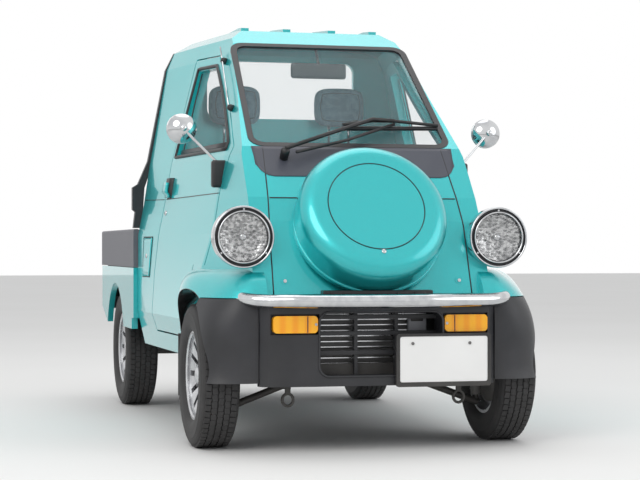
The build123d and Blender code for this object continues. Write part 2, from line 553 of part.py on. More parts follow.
keep("rear_axle", joined(axle, stub, other_side(stub), spring, other_side(spring), *shackles,
                         *[other_side(shape) for shape in shackles]))
prop = rod((0, 200, 330), (0, REAR_AXLE_Y - 60, AXLE_Z + 4), 32)
gearbox = block(-110, 110, 215, 330, 270, 420)
keep("driveline", joined(prop, gearbox))
tank = block(-560, -330, 180, 520, 330, 470)
keep("fuel_tank", joined(rounded(tank, tank.edges().filter_by(Axis.Y), 25), block(-340, -RAIL_X, 400, 440, 430, 460)))

# ---------------------------------------------------------------- cab inside
SEATS = ({"side": "driver", "x": -225.0, "back": 0.0}, {"side": "passenger", "x": 245.0, "back": 40.0})
headrests = []
for seat in SEATS:
    x = seat["x"]
    y = seat["back"]
    cushion = block(x - 200, x + 200, -250 + y, 200, 545.3, 650)
    cushion = rounded(cushion, cushion.edges().filter_by(Axis.Z), 40)
    back = across([(95 + y, 650.3), (185, 650.3), (238, 1180), (170 + y * 0.5, 1190)], x - 195, x + 195)
    back = rounded(back, back.edges().filter_by(Axis.Y), 30)
    head = block(x - 115, x + 115, 160 + y * 0.5, 240, 1255, 1425)
    head = rounded(head, head.edges().filter_by(Axis.Y), 50)
    back = joined(back, *[rod((x + side, 212, 1160), (x + side, 212, 1255), 6) for side in (-45, 45)])
    keep(f"{seat['side']}_seat_cushion", cushion)
    keep(f"{seat['side']}_seat_back", back)
    headrests.append(head)
keep("headrests", headrests)
dash = across([(-905, 1058), (-860, 1075), (-700, 1060), (-640, 1010), (-650, 900), (-700, 830), (-800, 800),
               (-1000, 800), (-1000, 930)], -700, 700)
dash = (dash & cab_volume(DOOR_THICK + GAP + 1)) + (dash & inner & block(-700, 700, -1100, -816, 700, 1200))
COLUMN_TILT = radians(50.0)
WHEEL_CENTRE = (-225.0, -545.0, 985.0)
WHEEL_RING_R = 180.0
COLUMN_DIR = (0.0, cos(COLUMN_TILT), sin(COLUMN_TILT))


def on_column(distance):
    """A point on the steering column's axis, measured back from the steering wheel's centre."""
    return tuple(centre - distance * part for centre, part in zip(WHEEL_CENTRE, COLUMN_DIR))


column = joined(rod(on_column(260), on_column(58), 24), rod(on_column(60), on_column(10), PIN_R))
dash = max(dash.solids(), key=lambda solid: solid.volume)
door_corner = Pos(HINGE_X, HINGE_Y, 985) * Cylinder(DASH_SWEEP_R, 130.0, align=(Align.CENTER, Align.CENTER, Align.MIN))
dash = dash - door_corner - other_side(door_corner)
keep("dashboard", joined(dash, column))
wheel_plane = Plane(origin=WHEEL_CENTRE, x_dir=(1, 0, 0), z_dir=COLUMN_DIR)
spokes = [Rot(0, 0, angle) * Pos(90, 0, -18) * Box(180, 34, 12) for angle in (0, 180, 270)]
steering_wheel = joined(Torus(WHEEL_RING_R, 13), Pos(0, 0, -22) * Cylinder(42, 44), *spokes)
steering_wheel = steering_wheel - Pos(0, 0, -27) * Cylinder(PIN_R + AXLE_FIT, 40)
keep("steering_wheel", wheel_plane * steering_wheel)

# ---------------------------------------------------------------- doors and mirrors
handle = block(540, 640, -78, -22, 945, 1012) & (cab_volume(-14.0) - outer)
door_handle = max(handle.solids(), key=lambda solid: solid.volume)
door_left = joined(door, door_handle)
keep("door_left", door_left)
keep("door_right", other_side(door_left))
keep("door_glass_left", door_glass)
keep("door_glass_right", other_side(door_glass))

MIRROR = (608.0, -685.0, 1175.0)
MIRROR_R = 56.0
MIRROR_FOOT = (478.0, -748.0, 1040.0)
dome = (Pos(*MIRROR) * Sphere(MIRROR_R)) & block(500, 700, -760, MIRROR[1] + 6, 1000, 1300)
dome = dome & (Pos(MIRROR[0], MIRROR[1] + 32, MIRROR[2]) * Sphere(68))
stalk = rod(MIRROR_FOOT, (MIRROR[0], MIRROR[1] - 22, MIRROR[2]), 5)
foot = block(440, 500, -764, -734, 955, 1050) - cab_volume(-0.3)
mirror_left = joined(dome, stalk, foot)
keep("mirror_left", mirror_left)
keep("mirror_right", other_side(mirror_left))

# ---------------------------------------------------------------- wheels
def revolved_x(section, x):
    """A section of (offset, radius) edges turned about the axle of a wheel at a width."""
    face = make_face(section)
    ring = revolve(Plane(origin=(0, 0, 0), x_dir=(1, 0, 0), z_dir=(0, -1, 0)) * face, Axis.X, 360)
    return ring


tyre_edges = [
    Line((-52, RIM_R - 5), (52, RIM_R - 5)),
    ThreePointArc((52, RIM_R - 5), (TYRE_W / 2, 207), (61, 248)),
    ThreePointArc((61, 248), (57, 255.5), (47, 259)),
    ThreePointArc((47, 259), (0, TYRE_R), (-47, 259)),
    ThreePointArc((-47, 259), (-57, 255.5), (-61, 248)),
    ThreePointArc((-61, 248), (-TYRE_W / 2, 207), (-52, RIM_R - 5)),
]
tyre = revolved_x(tyre_edges, 0)
rim_edges = Polyline((-56, RIM_R), (-49, RIM_R), (-47, RIM_R - 5), (47, RIM_R - 5), (49, RIM_R), (56, RIM_R),
                     (56, RIM_R - 8), (51, RIM_R - 13), (42, RIM_R - 13), (42, RIM_R - 22), (22, 60), (28, HUB_R),
                     (34, HUB_R), (34, 0), (24, 0), (24, AXLE_BORE_R), (-40, AXLE_BORE_R), (-40, HUB_R), (8, HUB_R),
                     (12, 62), (30, RIM_R - 16), (-56, RIM_R - 12), close=True)
rim = revolved_x(rim_edges, 0)
slot = Pos(0, 105, 0) * Rot(0, 90, 0) * Box(20, 62, 120)
slots = [Rot(angle, 0, 0) * slot for angle in [360.0 / SPOKES * index for index in range(SPOKES)]]
for piece in slots:
    rim = rim - piece
wheel_places = (
    {"name": "front_left", "x": HALF_TRACK, "y": FRONT_AXLE_Y},
    {"name": "front_right", "x": -HALF_TRACK, "y": FRONT_AXLE_Y},
    {"name": "rear_left", "x": HALF_TRACK, "y": REAR_AXLE_Y},
    {"name": "rear_right", "x": -HALF_TRACK, "y": REAR_AXLE_Y},
)
for place in wheel_places:
    turned = Rot(0, 0, 0) if place["x"] > 0 else Rot(0, 0, 180)
    keep(f"tyre_{place['name']}", Pos(place["x"], place["y"], AXLE_Z) * turned * tyre)
    keep(f"rim_{place['name']}", Pos(place["x"], place["y"], AXLE_Z) * turned * rim)

knuckle = joined(
    rod((KINGPIN_X, FRONT_AXLE_Y, KNUCKLE_LOW + 5), (KINGPIN_X, FRONT_AXLE_Y, 350), KNUCKLE_R),
    block(STRUT_X - 18, KINGPIN_X + 10, FRONT_AXLE_Y - 18, FRONT_AXLE_Y + 18, 345, 398),
    rod((KINGPIN_X, FRONT_AXLE_Y, AXLE_Z), (HALF_TRACK + 18, FRONT_AXLE_Y, AXLE_Z), AXLE_BORE_R - AXLE_FIT),
    rod((KINGPIN_X, FRONT_AXLE_Y, AXLE_Z), (HALF_TRACK - 46, FRONT_AXLE_Y, AXLE_Z), 26),
)
knuckle = knuckle - rod((KINGPIN_X, FRONT_AXLE_Y, 150), (KINGPIN_X, FRONT_AXLE_Y, 200), PIN_R + AXLE_FIT)
keep("knuckle_left", knuckle)
keep("knuckle_right", other_side(knuckle))

# ---------------------------------------------------------------- where pieces of one body meet
# Each piece gives way to the ones listed with it, so that they meet face to face.
SEATING = (
    {"node": "rear_axle", "around": ("chassis_frame",)},
    {"node": "cargo_bed", "around": ("bed_bands", "bed_sides", "chassis_frame", "cab_rear_guards")},
    {"node": "cab_shell", "around": ("chassis_frame", "driveline", "fuel_tank", "engine_block")},
    {"node": "front_fenders", "around": ("cab_shell", "headlamp_bowls", "spare_cover")},
    {"node": "fender_claddings", "around": ("cab_shell", "front_fenders", "front_bumper")},
    {"node": "bumper_bar", "around": ("fender_claddings", "front_fenders", "front_bumper", "cab_shell")},
    {"node": "grille", "around": ("front_bumper", "chassis_frame")},
    {"node": "front_suspension", "around": ("chassis_frame",)},
    {"node": "wheel_housings", "around": ("cab_shell", "front_suspension", "fender_claddings", "front_bumper",
                                          "front_fenders", "chassis_frame")},
    {"node": "engine_block", "around": ("chassis_frame",)},
    {"node": "driveline", "around": ("engine_block", "chassis_frame", "rear_axle")},
    {"node": "fuel_tank", "around": ("chassis_frame", "rear_axle")},
    {"node": "radiator", "around": ("chassis_frame",)},
    {"node": "floor_pan", "around": ("cab_shell", "chassis_frame", "driveline", "front_suspension", "fuel_tank",
                                     "nose_panel", "radiator", "wheel_housings")},
    {"node": "dashboard", "around": ("cab_shell", "cowl_panel", "nose_panel")},
    {"node": "tyre_front_left", "around": ("rim_front_left",)},
    {"node": "tyre_front_right", "around": ("rim_front_right",)},
    {"node": "tyre_rear_left", "around": ("rim_rear_left",)},
    {"node": "tyre_rear_right", "around": ("rim_rear_right",)},
)
for seat in SEATING:
    wanted = len(NODES[seat["node"]])
    trimmed = []
    for solid in NODES[seat["node"]]:
        for other in seat["around"]:
            for neighbour in NODES[other]:
                solid = solid - neighbour
        trimmed += solid.solids()
    NODES[seat["node"]] = sorted(trimmed, key=lambda solid: solid.volume)[-wanted:]

for node, solids in NODES.items():
    export_step(Compound(children=solids) if len(solids) > 1 else solids[0], f"parts/{node}.step")
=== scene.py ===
"""Looks of a micro pickup truck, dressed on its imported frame. Metres, +Z up, the nose points to -Y."""

import logging
import math
from collections.abc import Iterable
from dataclasses import dataclass
from enum import Enum

import bmesh
import bpy
from mathutils import Matrix, Vector
from mathutils.bvhtree import BVHTree


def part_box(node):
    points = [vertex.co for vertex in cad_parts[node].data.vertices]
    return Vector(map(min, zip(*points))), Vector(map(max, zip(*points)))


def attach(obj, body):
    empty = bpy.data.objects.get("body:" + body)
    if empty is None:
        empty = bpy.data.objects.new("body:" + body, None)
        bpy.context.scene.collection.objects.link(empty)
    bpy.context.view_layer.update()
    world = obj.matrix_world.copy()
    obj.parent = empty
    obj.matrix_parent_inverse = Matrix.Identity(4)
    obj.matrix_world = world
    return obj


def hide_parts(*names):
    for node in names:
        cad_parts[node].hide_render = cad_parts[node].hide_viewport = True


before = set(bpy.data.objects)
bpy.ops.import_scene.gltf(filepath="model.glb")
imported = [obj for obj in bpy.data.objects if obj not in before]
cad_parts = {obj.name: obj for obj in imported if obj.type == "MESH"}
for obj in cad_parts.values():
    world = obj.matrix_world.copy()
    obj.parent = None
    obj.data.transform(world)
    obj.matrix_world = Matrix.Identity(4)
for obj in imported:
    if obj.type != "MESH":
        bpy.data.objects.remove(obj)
log = logging.getLogger("truck")
Point = tuple[float, float, float]
Flat = tuple[float, float]
Colour = tuple[float, float, float]
Spot = tuple[Vector, Vector]
Piece = bpy.types.Object
Material = bpy.types.Material
Node = bpy.types.Node
Socket = bpy.types.NodeSocket
AHEAD: Point = (0, -1, 0)
BEHIND: Point = (0, 1, 0)


class Side(Enum):
    """The two sides of the vehicle, by the sign of X."""

    LEFT = 1
    RIGHT = -1

    @property
    def word(self) -> str:
        """The side as it stands in the names of nodes."""
        return "left" if self is Side.LEFT else "right"

    def span(self, one: float, two: float) -> Flat:
        """Two distances from the middle as X on this side, the lower first."""
        return tuple(sorted((self.value * one, self.value * two)))


def placed(name: str, data: bpy.types.ID) -> Piece:
    """A new object in the scene, at the origin.

    Args:
        name: Its name.
        data: Its mesh, light or camera.

    Returns:
        The object.
    """
    obj = bpy.data.objects.new(name, data)
    bpy.context.scene.collection.objects.link(obj)
    return obj


# ---------------------------------------------------------------------------------- node trees
class Nodes:
    """A node tree that is filled one node at a time."""

    def __init__(self, tree: bpy.types.NodeTree) -> None:
        """Keep the tree."""
        self.tree = tree

    def feed(self, target: Socket, value: object) -> None:
        """Fill an input from another node's output, or with a plain value."""
        if isinstance(value, Socket):
            self.tree.links.new(value, target)
        else:
            target.default_value = value

    def add(self, kind: str, inputs: dict[str | int, object] | None = None, **settings: object) -> Node:
        """Add a node.

        Args:
            kind: The node's type.
            inputs: Value or output by the input's name or number.
            **settings: Properties by name.

        Returns:
            The node.
        """
        node = self.tree.nodes.new(kind)
        for label, value in settings.items():
            setattr(node, label, value)
        for label, value in (inputs or {}).items():
            self.feed(node.inputs[label], value)
        return node

    def here(self) -> Socket:
        """Object coordinates."""
        return self.add("ShaderNodeTexCoord").outputs["Object"]

    def maths(self, operation: str, one: object, two: object, clamp: bool = False) -> Socket:
        """One step of arithmetic.

        Args:
            operation: Its name.
            one: The first value or output.
            two: The second value or output.
            clamp: Whether the result is kept from 0 to 1.

        Returns:
            The result.
        """
        return self.add("ShaderNodeMath", {0: one, 1: two}, operation=operation, use_clamp=clamp).outputs[0]

    def noise(self, scale: object, **inputs: float) -> Socket:
        """Cloudy noise on Object coordinates.

        Args:
            scale: Its scale, or the output that gives it.
            **inputs: Other inputs by name.

        Returns:
            The noise from 0 to 1.
        """
        inputs = {"Vector": self.here(), "Scale": scale, **inputs}
        return self.add("ShaderNodeTexNoise", inputs).outputs["Fac"]

    def ramp(self, source: Socket, low: Colour, high: Colour, start: float = 0.0, end: float = 1.0) -> Socket:
        """Two colours spread over a value.

        Args:
            source: The value that drives it.
            low: The colour at start.
            high: The colour at end.
            start: Where the low colour ends.
            end: Where the high colour begins.

        Returns:
            The colour.
        """
        node = self.add("ShaderNodeValToRGB", {"Fac": source})
        for stop, place, colour in zip(node.color_ramp.elements, (start, end), (low, high)):
            stop.position = place
            stop.color = (*colour, 1.0)
        return node.outputs["Color"]

    def spread(self, source: Socket, low: float, high: float) -> Socket:
        """A value from 0 to 1 mapped to a range.

        Args:
            source: The value.
            low: The result at 0.
            high: The result at 1.

        Returns:
            The mapped value.
        """
        inputs = {"Value": source, "To Min": low, "To Max": high}
        return self.add("ShaderNodeMapRange", inputs).outputs["Result"]

    def fade(self, mask: Socket, base: Socket, over: Colour) -> Socket:
        """Lay a flat colour over another by a mask.

        Args:
            mask: Where the second colour lies.
            base: The first colour.
            over: The second colour.

        Returns:
            The mixed colour.
        """
        inputs = {"Factor": mask, "A": base, "B": (*over, 1.0)}
        return self.add("ShaderNodeMix", inputs, data_type="RGBA").outputs["Result"]


class ShaderGroup(Nodes):
    """A shader node group that more than one finish uses, built once."""

    made: dict[str, bpy.types.NodeTree] = {}

    def __init__(self, name: str, inputs: dict[str, float], outputs: tuple[str, ...]) -> None:
        """Open a new group.

        Args:
            name: The group's name.
            inputs: Default value by input name.
            outputs: Names of its outputs, all plain values.
        """
        super().__init__(bpy.data.node_groups.new(name, "ShaderNodeTree"))
        for label, value in inputs.items():
            socket = self.tree.interface.new_socket(label, in_out="INPUT", socket_type="NodeSocketFloat")
            socket.default_value = value
        for label in outputs:
            self.tree.interface.new_socket(label, in_out="OUTPUT", socket_type="NodeSocketFloat")
        self.entry, self.leave = self.add("NodeGroupInput"), self.add("NodeGroupOutput")
        self.made[name] = self.tree

    def give(self, label: str, value: Socket) -> None:
        """Send a value out of the group."""
        self.feed(self.leave.inputs[label], value)

    @classmethod
    def grain(cls) -> bpy.types.NodeTree:
        """Fine pebbled grain as a height, and slow patches as a mask."""
        if "moulded_grain" not in cls.made:
            group = cls("moulded_grain", {"Pebble Scale": 900.0, "Patch Scale": 6.0}, ("Height", "Patch"))
            given = group.entry.outputs
            inputs = {"Vector": group.here(), "Scale": given["Pebble Scale"]}
            pebble = group.add("ShaderNodeTexVoronoi", inputs)
            group.give("Height", pebble.outputs["Distance"])
            group.give("Patch", group.noise(given["Patch Scale"], Detail=4.0))
        return cls.made["moulded_grain"]

    @classmethod
    def flake(cls) -> bpy.types.NodeTree:
        """Metal flake in paint, as a sparkle mask."""
        if "paint_flake" not in cls.made:
            group = cls("paint_flake", {"Flake Scale": 2600.0}, ("Sparkle",))
            inputs = {"Vector": group.here(), "Scale": group.entry.outputs["Flake Scale"]}
            cell = group.add("ShaderNodeTexVoronoi", inputs)
            spark = group.add("ShaderNodeSeparateColor", {"Color": cell.outputs["Color"]})
            group.give("Sparkle", spark.outputs["Red"])
        return cls.made["paint_flake"]

    @classmethod
    def dust(cls) -> bpy.types.NodeTree:
        """Road dust that lies on the lower part of a piece, as a mask."""
        if "road_dust" not in cls.made:
            group = cls("road_dust", {"Top": 0.35, "Amount": 0.5}, ("Mask",))
            given = group.entry.outputs
            split = group.add("ShaderNodeSeparateXYZ", {0: group.here()})
            height = group.maths("DIVIDE", split.outputs["Z"], given["Top"], clamp=True)
            lower = group.maths("SUBTRACT", 1.0, height, clamp=True)
            cloudy = group.maths("MULTIPLY", lower, group.noise(14.0, Detail=6.0))
            group.give("Mask", group.maths("MULTIPLY", cloudy, given["Amount"]))
        return cls.made["road_dust"]


# ---------------------------------------------------------------------------------- finishes
DUST: Colour = (0.30, 0.28, 0.25)
RUBBER_DUST: Colour = (0.16, 0.15, 0.14)
# Near black for paint inside the front wheel arch: painted shade, together with the arch's dark lining.
ARCH_LINING_AND_SHADE: Colour = (0.010, 0.010, 0.011)


class Surface(Nodes):
    """A new material around one Principled BSDF, with the steps that the finishes share."""

    def __init__(self, name: str) -> None:
        """Make the material.

        Args:
            name: Its name.
        """
        self.material = bpy.data.materials.new(name)
        self.material.use_nodes = True
        super().__init__(self.material.node_tree)
        self.shader = self.tree.nodes["Principled BSDF"]

    def group(self, group: bpy.types.NodeTree, **values: float) -> Node:
        """Place a shader group.

        Args:
            group: The group.
            **values: Input values, with underscores for the spaces in their names.

        Returns:
            The group's node.
        """
        inputs = {label.replace("_", " "): value for label, value in values.items()}
        return self.add("ShaderNodeGroup", inputs, node_tree=group)

    def bump(self, height: Socket, distance: float, strength: float) -> Socket:
        """A normal from a height.

        Args:
            height: The height.
            distance: The depth of the relief in metres.
            strength: How much of it shows.

        Returns:
            The normal.
        """
        inputs = {"Height": height, "Distance": distance, "Strength": strength}
        return self.add("ShaderNodeBump", inputs).outputs["Normal"]

    def grained(self, scales: Flat, colours: tuple[Colour, Colour], stops: Flat, dust: Flat,
                tint: Colour = DUST) -> Node:
        """Two colours in slow patches under road dust, fed to Base Color.

        Args:
            scales: Scale of the pebbles and of the patches.
            colours: The colours between the patches and on them.
            stops: Where the patches begin and end.
            dust: Height that the dust reaches, and its amount.
            tint: The dust's colour.

        Returns:
            The grain group's node.
        """
        grain = self.group(ShaderGroup.grain(), Pebble_Scale=scales[0], Patch_Scale=scales[1])
        mask = self.group(ShaderGroup.dust(), Top=dust[0], Amount=dust[1]).outputs["Mask"]
        self.finish(Base_Color=self.fade(mask, self.ramp(grain.outputs["Patch"], *colours, *stops), tint))
        return grain

    def finish(self, **inputs: object) -> Material:
        """Fill the shader's inputs.

        Args:
            **inputs: Value or output by input name, with underscores for spaces.

        Returns:
            The material.
        """
        for label, value in inputs.items():
            self.feed(self.shader.inputs[label.replace("_", " ")], value)
        return self.material


@dataclass(frozen=True)
class MetallicPaint:
    """Two-coat metallic body paint with flake under a clear coat, near black inside a wheel arch: painted
    shade together with the arch's dark lining.
    """

    name: str
    light: Colour = (0.020, 0.62, 0.61)
    deep: Colour = (0.004, 0.35, 0.40)
    metallic: float = 0.50
    arch: Point | None = None

    def inside(self, surface: Surface) -> Socket:
        """Where the panel is nearer the wheel's axle than the arch's edge.

        Args:
            surface: The material.

        Returns:
            A mask that is 1 inside the arch.
        """
        axle_y, axle_z, radius = self.arch
        inputs = {0: surface.here(), 1: (0.0, 1.0, 1.0)}
        flat = surface.add("ShaderNodeVectorMath", inputs, operation="MULTIPLY")
        inputs = {0: flat.outputs[0], 1: (0.0, axle_y, axle_z)}
        reach = surface.add("ShaderNodeVectorMath", inputs, operation="DISTANCE")
        return surface.maths("LESS_THAN", reach.outputs["Value"], radius)

    def material(self) -> Material:
        """Build the paint.

        Returns:
            The material.
        """
        surface = Surface(self.name)
        sparkle = surface.group(ShaderGroup.flake()).outputs["Sparkle"]
        dust = surface.group(ShaderGroup.dust(), Top=0.45, Amount=0.07).outputs["Mask"]
        colour = surface.fade(dust, surface.ramp(sparkle, self.deep, self.light, 0.1, 0.95), DUST)
        # Inside the arch the paint turns near black: painted shade, together with the arch's dark lining.
        if self.arch is not None:
            colour = surface.fade(self.inside(surface), colour, ARCH_LINING_AND_SHADE)
        return surface.finish(Base_Color=colour, Roughness=surface.spread(sparkle, 0.26, 0.40),
                              Metallic=self.metallic, Coat_Weight=1.0, Coat_Roughness=0.03)


@dataclass(frozen=True)
class MouldedPlastic:
    """Moulded plastic with a pebbled grain and slow patches of wear."""

    name: str
    colour: Colour
    worn: Colour
    rough: float = 0.5
    pebble: float = 900.0
    depth: float = 0.0004
    dust: float = 0.35

    def material(self) -> Material:
        """Build the plastic.

        Returns:
            The material.
        """
        surface = Surface(self.name)
        grain = surface.grained((self.pebble, 6.0), (self.colour, self.worn), (0.35, 0.8), (0.6, self.dust))
        rough = surface.spread(grain.outputs["Patch"], self.rough - 0.1, self.rough + 0.12)
        return surface.finish(Roughness=rough, Normal=surface.bump(grain.outputs["Height"], self.depth, 0.35))


@dataclass(frozen=True)
class BrightMetal:
    """Plated or bare metal with faint haze."""

    name: str
    colour: Colour
    haze: Colour
    rough: float = 0.08
    dust: float = 0.2

    def material(self) -> Material:
        """Build the metal.

        Returns:
            The material.
        """
        surface = Surface(self.name)
        grain = surface.grained((1500.0, 25.0), (self.haze, self.colour), (0.3, 0.6), (0.4, self.dust))
        rough = surface.spread(grain.outputs["Patch"], self.rough + 0.08, self.rough)
        return surface.finish(Roughness=rough, Metallic=1.0)


@dataclass(frozen=True)
class ClearGlass:
    """Thin glass with a light tint, or a clear moulded lens."""

    name: str
    tint: Colour
    rough: float = 0.0
    alpha: float = 0.3

    def material(self) -> Material:
        """Build the glass.

        Returns:
            The material.
        """
        surface = Surface(self.name)
        patch = surface.group(ShaderGroup.grain(), Pebble_Scale=300.0, Patch_Scale=3.0).outputs["Patch"]
        paler = tuple(min(1.0, part * 1.04) for part in self.tint)
        return surface.finish(Base_Color=surface.ramp(patch, self.tint, paler), IOR=1.45,
                              Roughness=surface.spread(patch, self.rough, self.rough + 0.02),
                              Alpha=surface.spread(patch, self.alpha, self.alpha + 0.02))


@dataclass(frozen=True)
class FlutedReflector:
    """Bright metal with painted reflections: light and dark spots in upright bands, as it looks through
    fluted glass.
    """

    name: str
    light: Colour
    dark: Colour
    stretch: Point = (13.0, 6.0, 21.0)

    def material(self) -> Material:
        """Build the reflector.

        Returns:
            The material.
        """
        surface = Surface(self.name)
        place = surface.add("ShaderNodeMapping", {"Vector": surface.here(), "Scale": self.stretch})
        cells = surface.add("ShaderNodeTexVoronoi", {"Vector": place.outputs["Vector"]})
        # Painted reflections: the base colour runs from dark to light in stretched cells, as the mirror looks
        # through fluted glass.
        glint_flecks = surface.maths("MULTIPLY", cells.outputs["Distance"], surface.noise(34.0, Detail=6.0))
        return surface.finish(Base_Color=surface.ramp(glint_flecks, self.dark, self.light, 0.06, 0.36),
                              Roughness=surface.spread(glint_flecks, 0.10, 0.26), Metallic=0.85,
                              Normal=surface.bump(glint_flecks, 0.004, 0.8))


@dataclass(frozen=True)
class MouldedLens:
    """Coloured lamp plastic with flutes moulded in its face."""

    name: str
    colour: Colour
    deep: Colour
    pitch: float = 220.0

    def material(self) -> Material:
        """Build the lens.

        Returns:
            The material.
        """
        surface = Surface(self.name)
        inputs = {"Vector": surface.here(), "Scale": self.pitch / 6.0}
        flutes = surface.add("ShaderNodeTexWave", inputs, bands_direction="X").outputs["Fac"]
        return surface.finish(Base_Color=surface.ramp(flutes, self.deep, self.colour, 0.1, 0.8),
                              Roughness=surface.spread(flutes, 0.12, 0.2), Coat_Weight=0.6,
                              Normal=surface.bump(flutes, 0.0012, 0.6))


@dataclass(frozen=True)
class TyreRubber:
    """Tyre rubber with scuffs and a little dust on it."""

    name: str = "tyre_rubber"
    fresh: Colour = (0.016, 0.016, 0.017)
    scuffed: Colour = (0.04, 0.04, 0.042)

    def material(self) -> Material:
        """Build the rubber.

        Returns:
            The material.
        """
        surface = Surface(self.name)
        colours = (self.fresh, self.scuffed)
        grain = surface.grained((1300.0, 16.0), colours, (0.3, 0.8), (0.6, 0.25), RUBBER_DUST)
        return surface.finish(Roughness=surface.spread(grain.outputs["Patch"], 0.62, 0.85),
                              Normal=surface.bump(grain.outputs["Height"], 0.0004, 0.3))


@dataclass(frozen=True)
class SeatCloth:
    """Mottled woven seat cloth."""

    name: str
    light: Colour
    dark: Colour
    threads: float = 160.0

    def material(self) -> Material:
        """Build the cloth.

        Returns:
            The material.
        """
        surface = Surface(self.name)
        mottle = surface.noise(38.0, Detail=8.0, Roughness=0.7)
        weave = [surface.add("ShaderNodeTexWave", {"Vector": surface.here(), "Scale": self.threads},
                             bands_direction=direction).outputs["Fac"] for direction in ("X", "Z")]
        return surface.finish(Base_Color=surface.ramp(mottle, self.dark, self.light, 0.42, 0.62),
                              Roughness=surface.spread(mottle, 0.8, 0.95), Sheen_Weight=0.3,
                              Normal=surface.bump(surface.maths("MAXIMUM", *weave), 0.0006, 0.5))


@dataclass(frozen=True)
class Finishes:
    """Every finish of the truck, built once."""

    paint: Material
    cab_paint: Material
    fender_paint: Material
    black: Material
    cladding: Material
    cowl: Material
    bed: Material
    chassis: Material
    chrome: Material
    silver: Material
    cast: Material
    glass: Material
    lens: Material
    amber: Material
    red: Material
    plate: Material
    rubber: Material
    seal: Material
    cloth: Material
    dash: Material
    core: Material
    mirror: Material
    bottle: Material
    reflector: Material

    @classmethod
    def build(cls) -> "Finishes":
        """Make the materials.

        Returns:
            The finishes.
        """
        front_axle = (-0.945, 0.260)
        kinds = {
            "paint": MetallicPaint("turquoise_metallic"),
            # The cab and fender paint carry painted shade inside the front wheel arch.
            "cab_paint": MetallicPaint("turquoise_cab", arch=(*front_axle, 0.3045)),
            "fender_paint": MetallicPaint("turquoise_fender", arch=(*front_axle, 0.3165)),
            "black": MouldedPlastic("black_moulding", (0.009, 0.009, 0.010), (0.022, 0.022, 0.025), 0.42),
            "cladding": MouldedPlastic("grained_cladding", (0.011, 0.012, 0.015), (0.024, 0.025, 0.031), 0.42,
                                       620.0, 0.0006, 0.10),
            "cowl": MouldedPlastic("slate_cowl", (0.060, 0.064, 0.085), (0.080, 0.085, 0.105), 0.42),
            "bed": MouldedPlastic("bed_grey", (0.115, 0.115, 0.135), (0.165, 0.165, 0.185), 0.5,
                                  500.0, 0.0006),
            "chassis": MouldedPlastic("chassis_black", (0.010, 0.010, 0.011), (0.028, 0.027, 0.027), 0.55,
                                      500.0, 0.0004, 0.4),
            "chrome": BrightMetal("chrome_plate", (0.62, 0.63, 0.64), (0.50, 0.51, 0.53), 0.05),
            "silver": BrightMetal("wheel_silver", (0.66, 0.67, 0.69), (0.50, 0.51, 0.53), 0.24, 0.5),
            "cast": MouldedPlastic("cast_metal", (0.10, 0.10, 0.105), (0.17, 0.165, 0.16), 0.6,
                                   420.0, 0.0009, 0.8),
            "glass": ClearGlass("window_glass", (0.50, 0.64, 0.67), 0.0, 0.08),
            "lens": ClearGlass("lamp_glass", (0.42, 0.44, 0.45), 0.01, 0.07),
            "amber": MouldedLens("amber_lens", (1.0, 0.46, 0.006), (0.97, 0.36, 0.004), 42.0),
            "red": MouldedLens("red_lens", (0.62, 0.02, 0.015), (0.25, 0.006, 0.006)),
            "plate": MouldedPlastic("plate_white", (0.86, 0.86, 0.85), (0.90, 0.90, 0.89), 0.35,
                                    300.0, 0.0001, 0.05),
            "rubber": TyreRubber(),
            "seal": MouldedPlastic("rubber_seal", (0.010, 0.010, 0.012), (0.022, 0.022, 0.026), 0.38),
            "cloth": SeatCloth("mottled_seat_cloth", (0.27, 0.40, 0.50), (0.16, 0.25, 0.33)),
            "dash": MouldedPlastic("dash_plastic", (0.060, 0.075, 0.095), (0.085, 0.10, 0.125), 0.6, 700.0),
            "core": MouldedPlastic("radiator_core", (0.05, 0.05, 0.052), (0.10, 0.10, 0.10), 0.5,
                                   300.0, 0.001),
            "mirror": BrightMetal("mirror_face", (0.90, 0.91, 0.92), (0.86, 0.87, 0.88), 0.01),
            "bottle": MouldedPlastic("bottle_plastic", (0.30, 0.31, 0.34), (0.40, 0.41, 0.44), 0.4, 400.0),
            "reflector": FlutedReflector("lamp_reflector", (0.66, 0.66, 0.66), (0.085, 0.085, 0.090)),
        }
        return cls(**{label: kind.material() for label, kind in kinds.items()})


# ---------------------------------------------------------------------------------- mesh tools
def ring_angles(count: int, first: float = 0.0) -> list[float]:
    """Evenly spaced angles round a circle.

    Args:
        count: How many.
        first: The first one, in steps.

    Returns:
        The angles in radians.
    """
    return [2 * math.pi * (k + first) / count for k in range(count)]


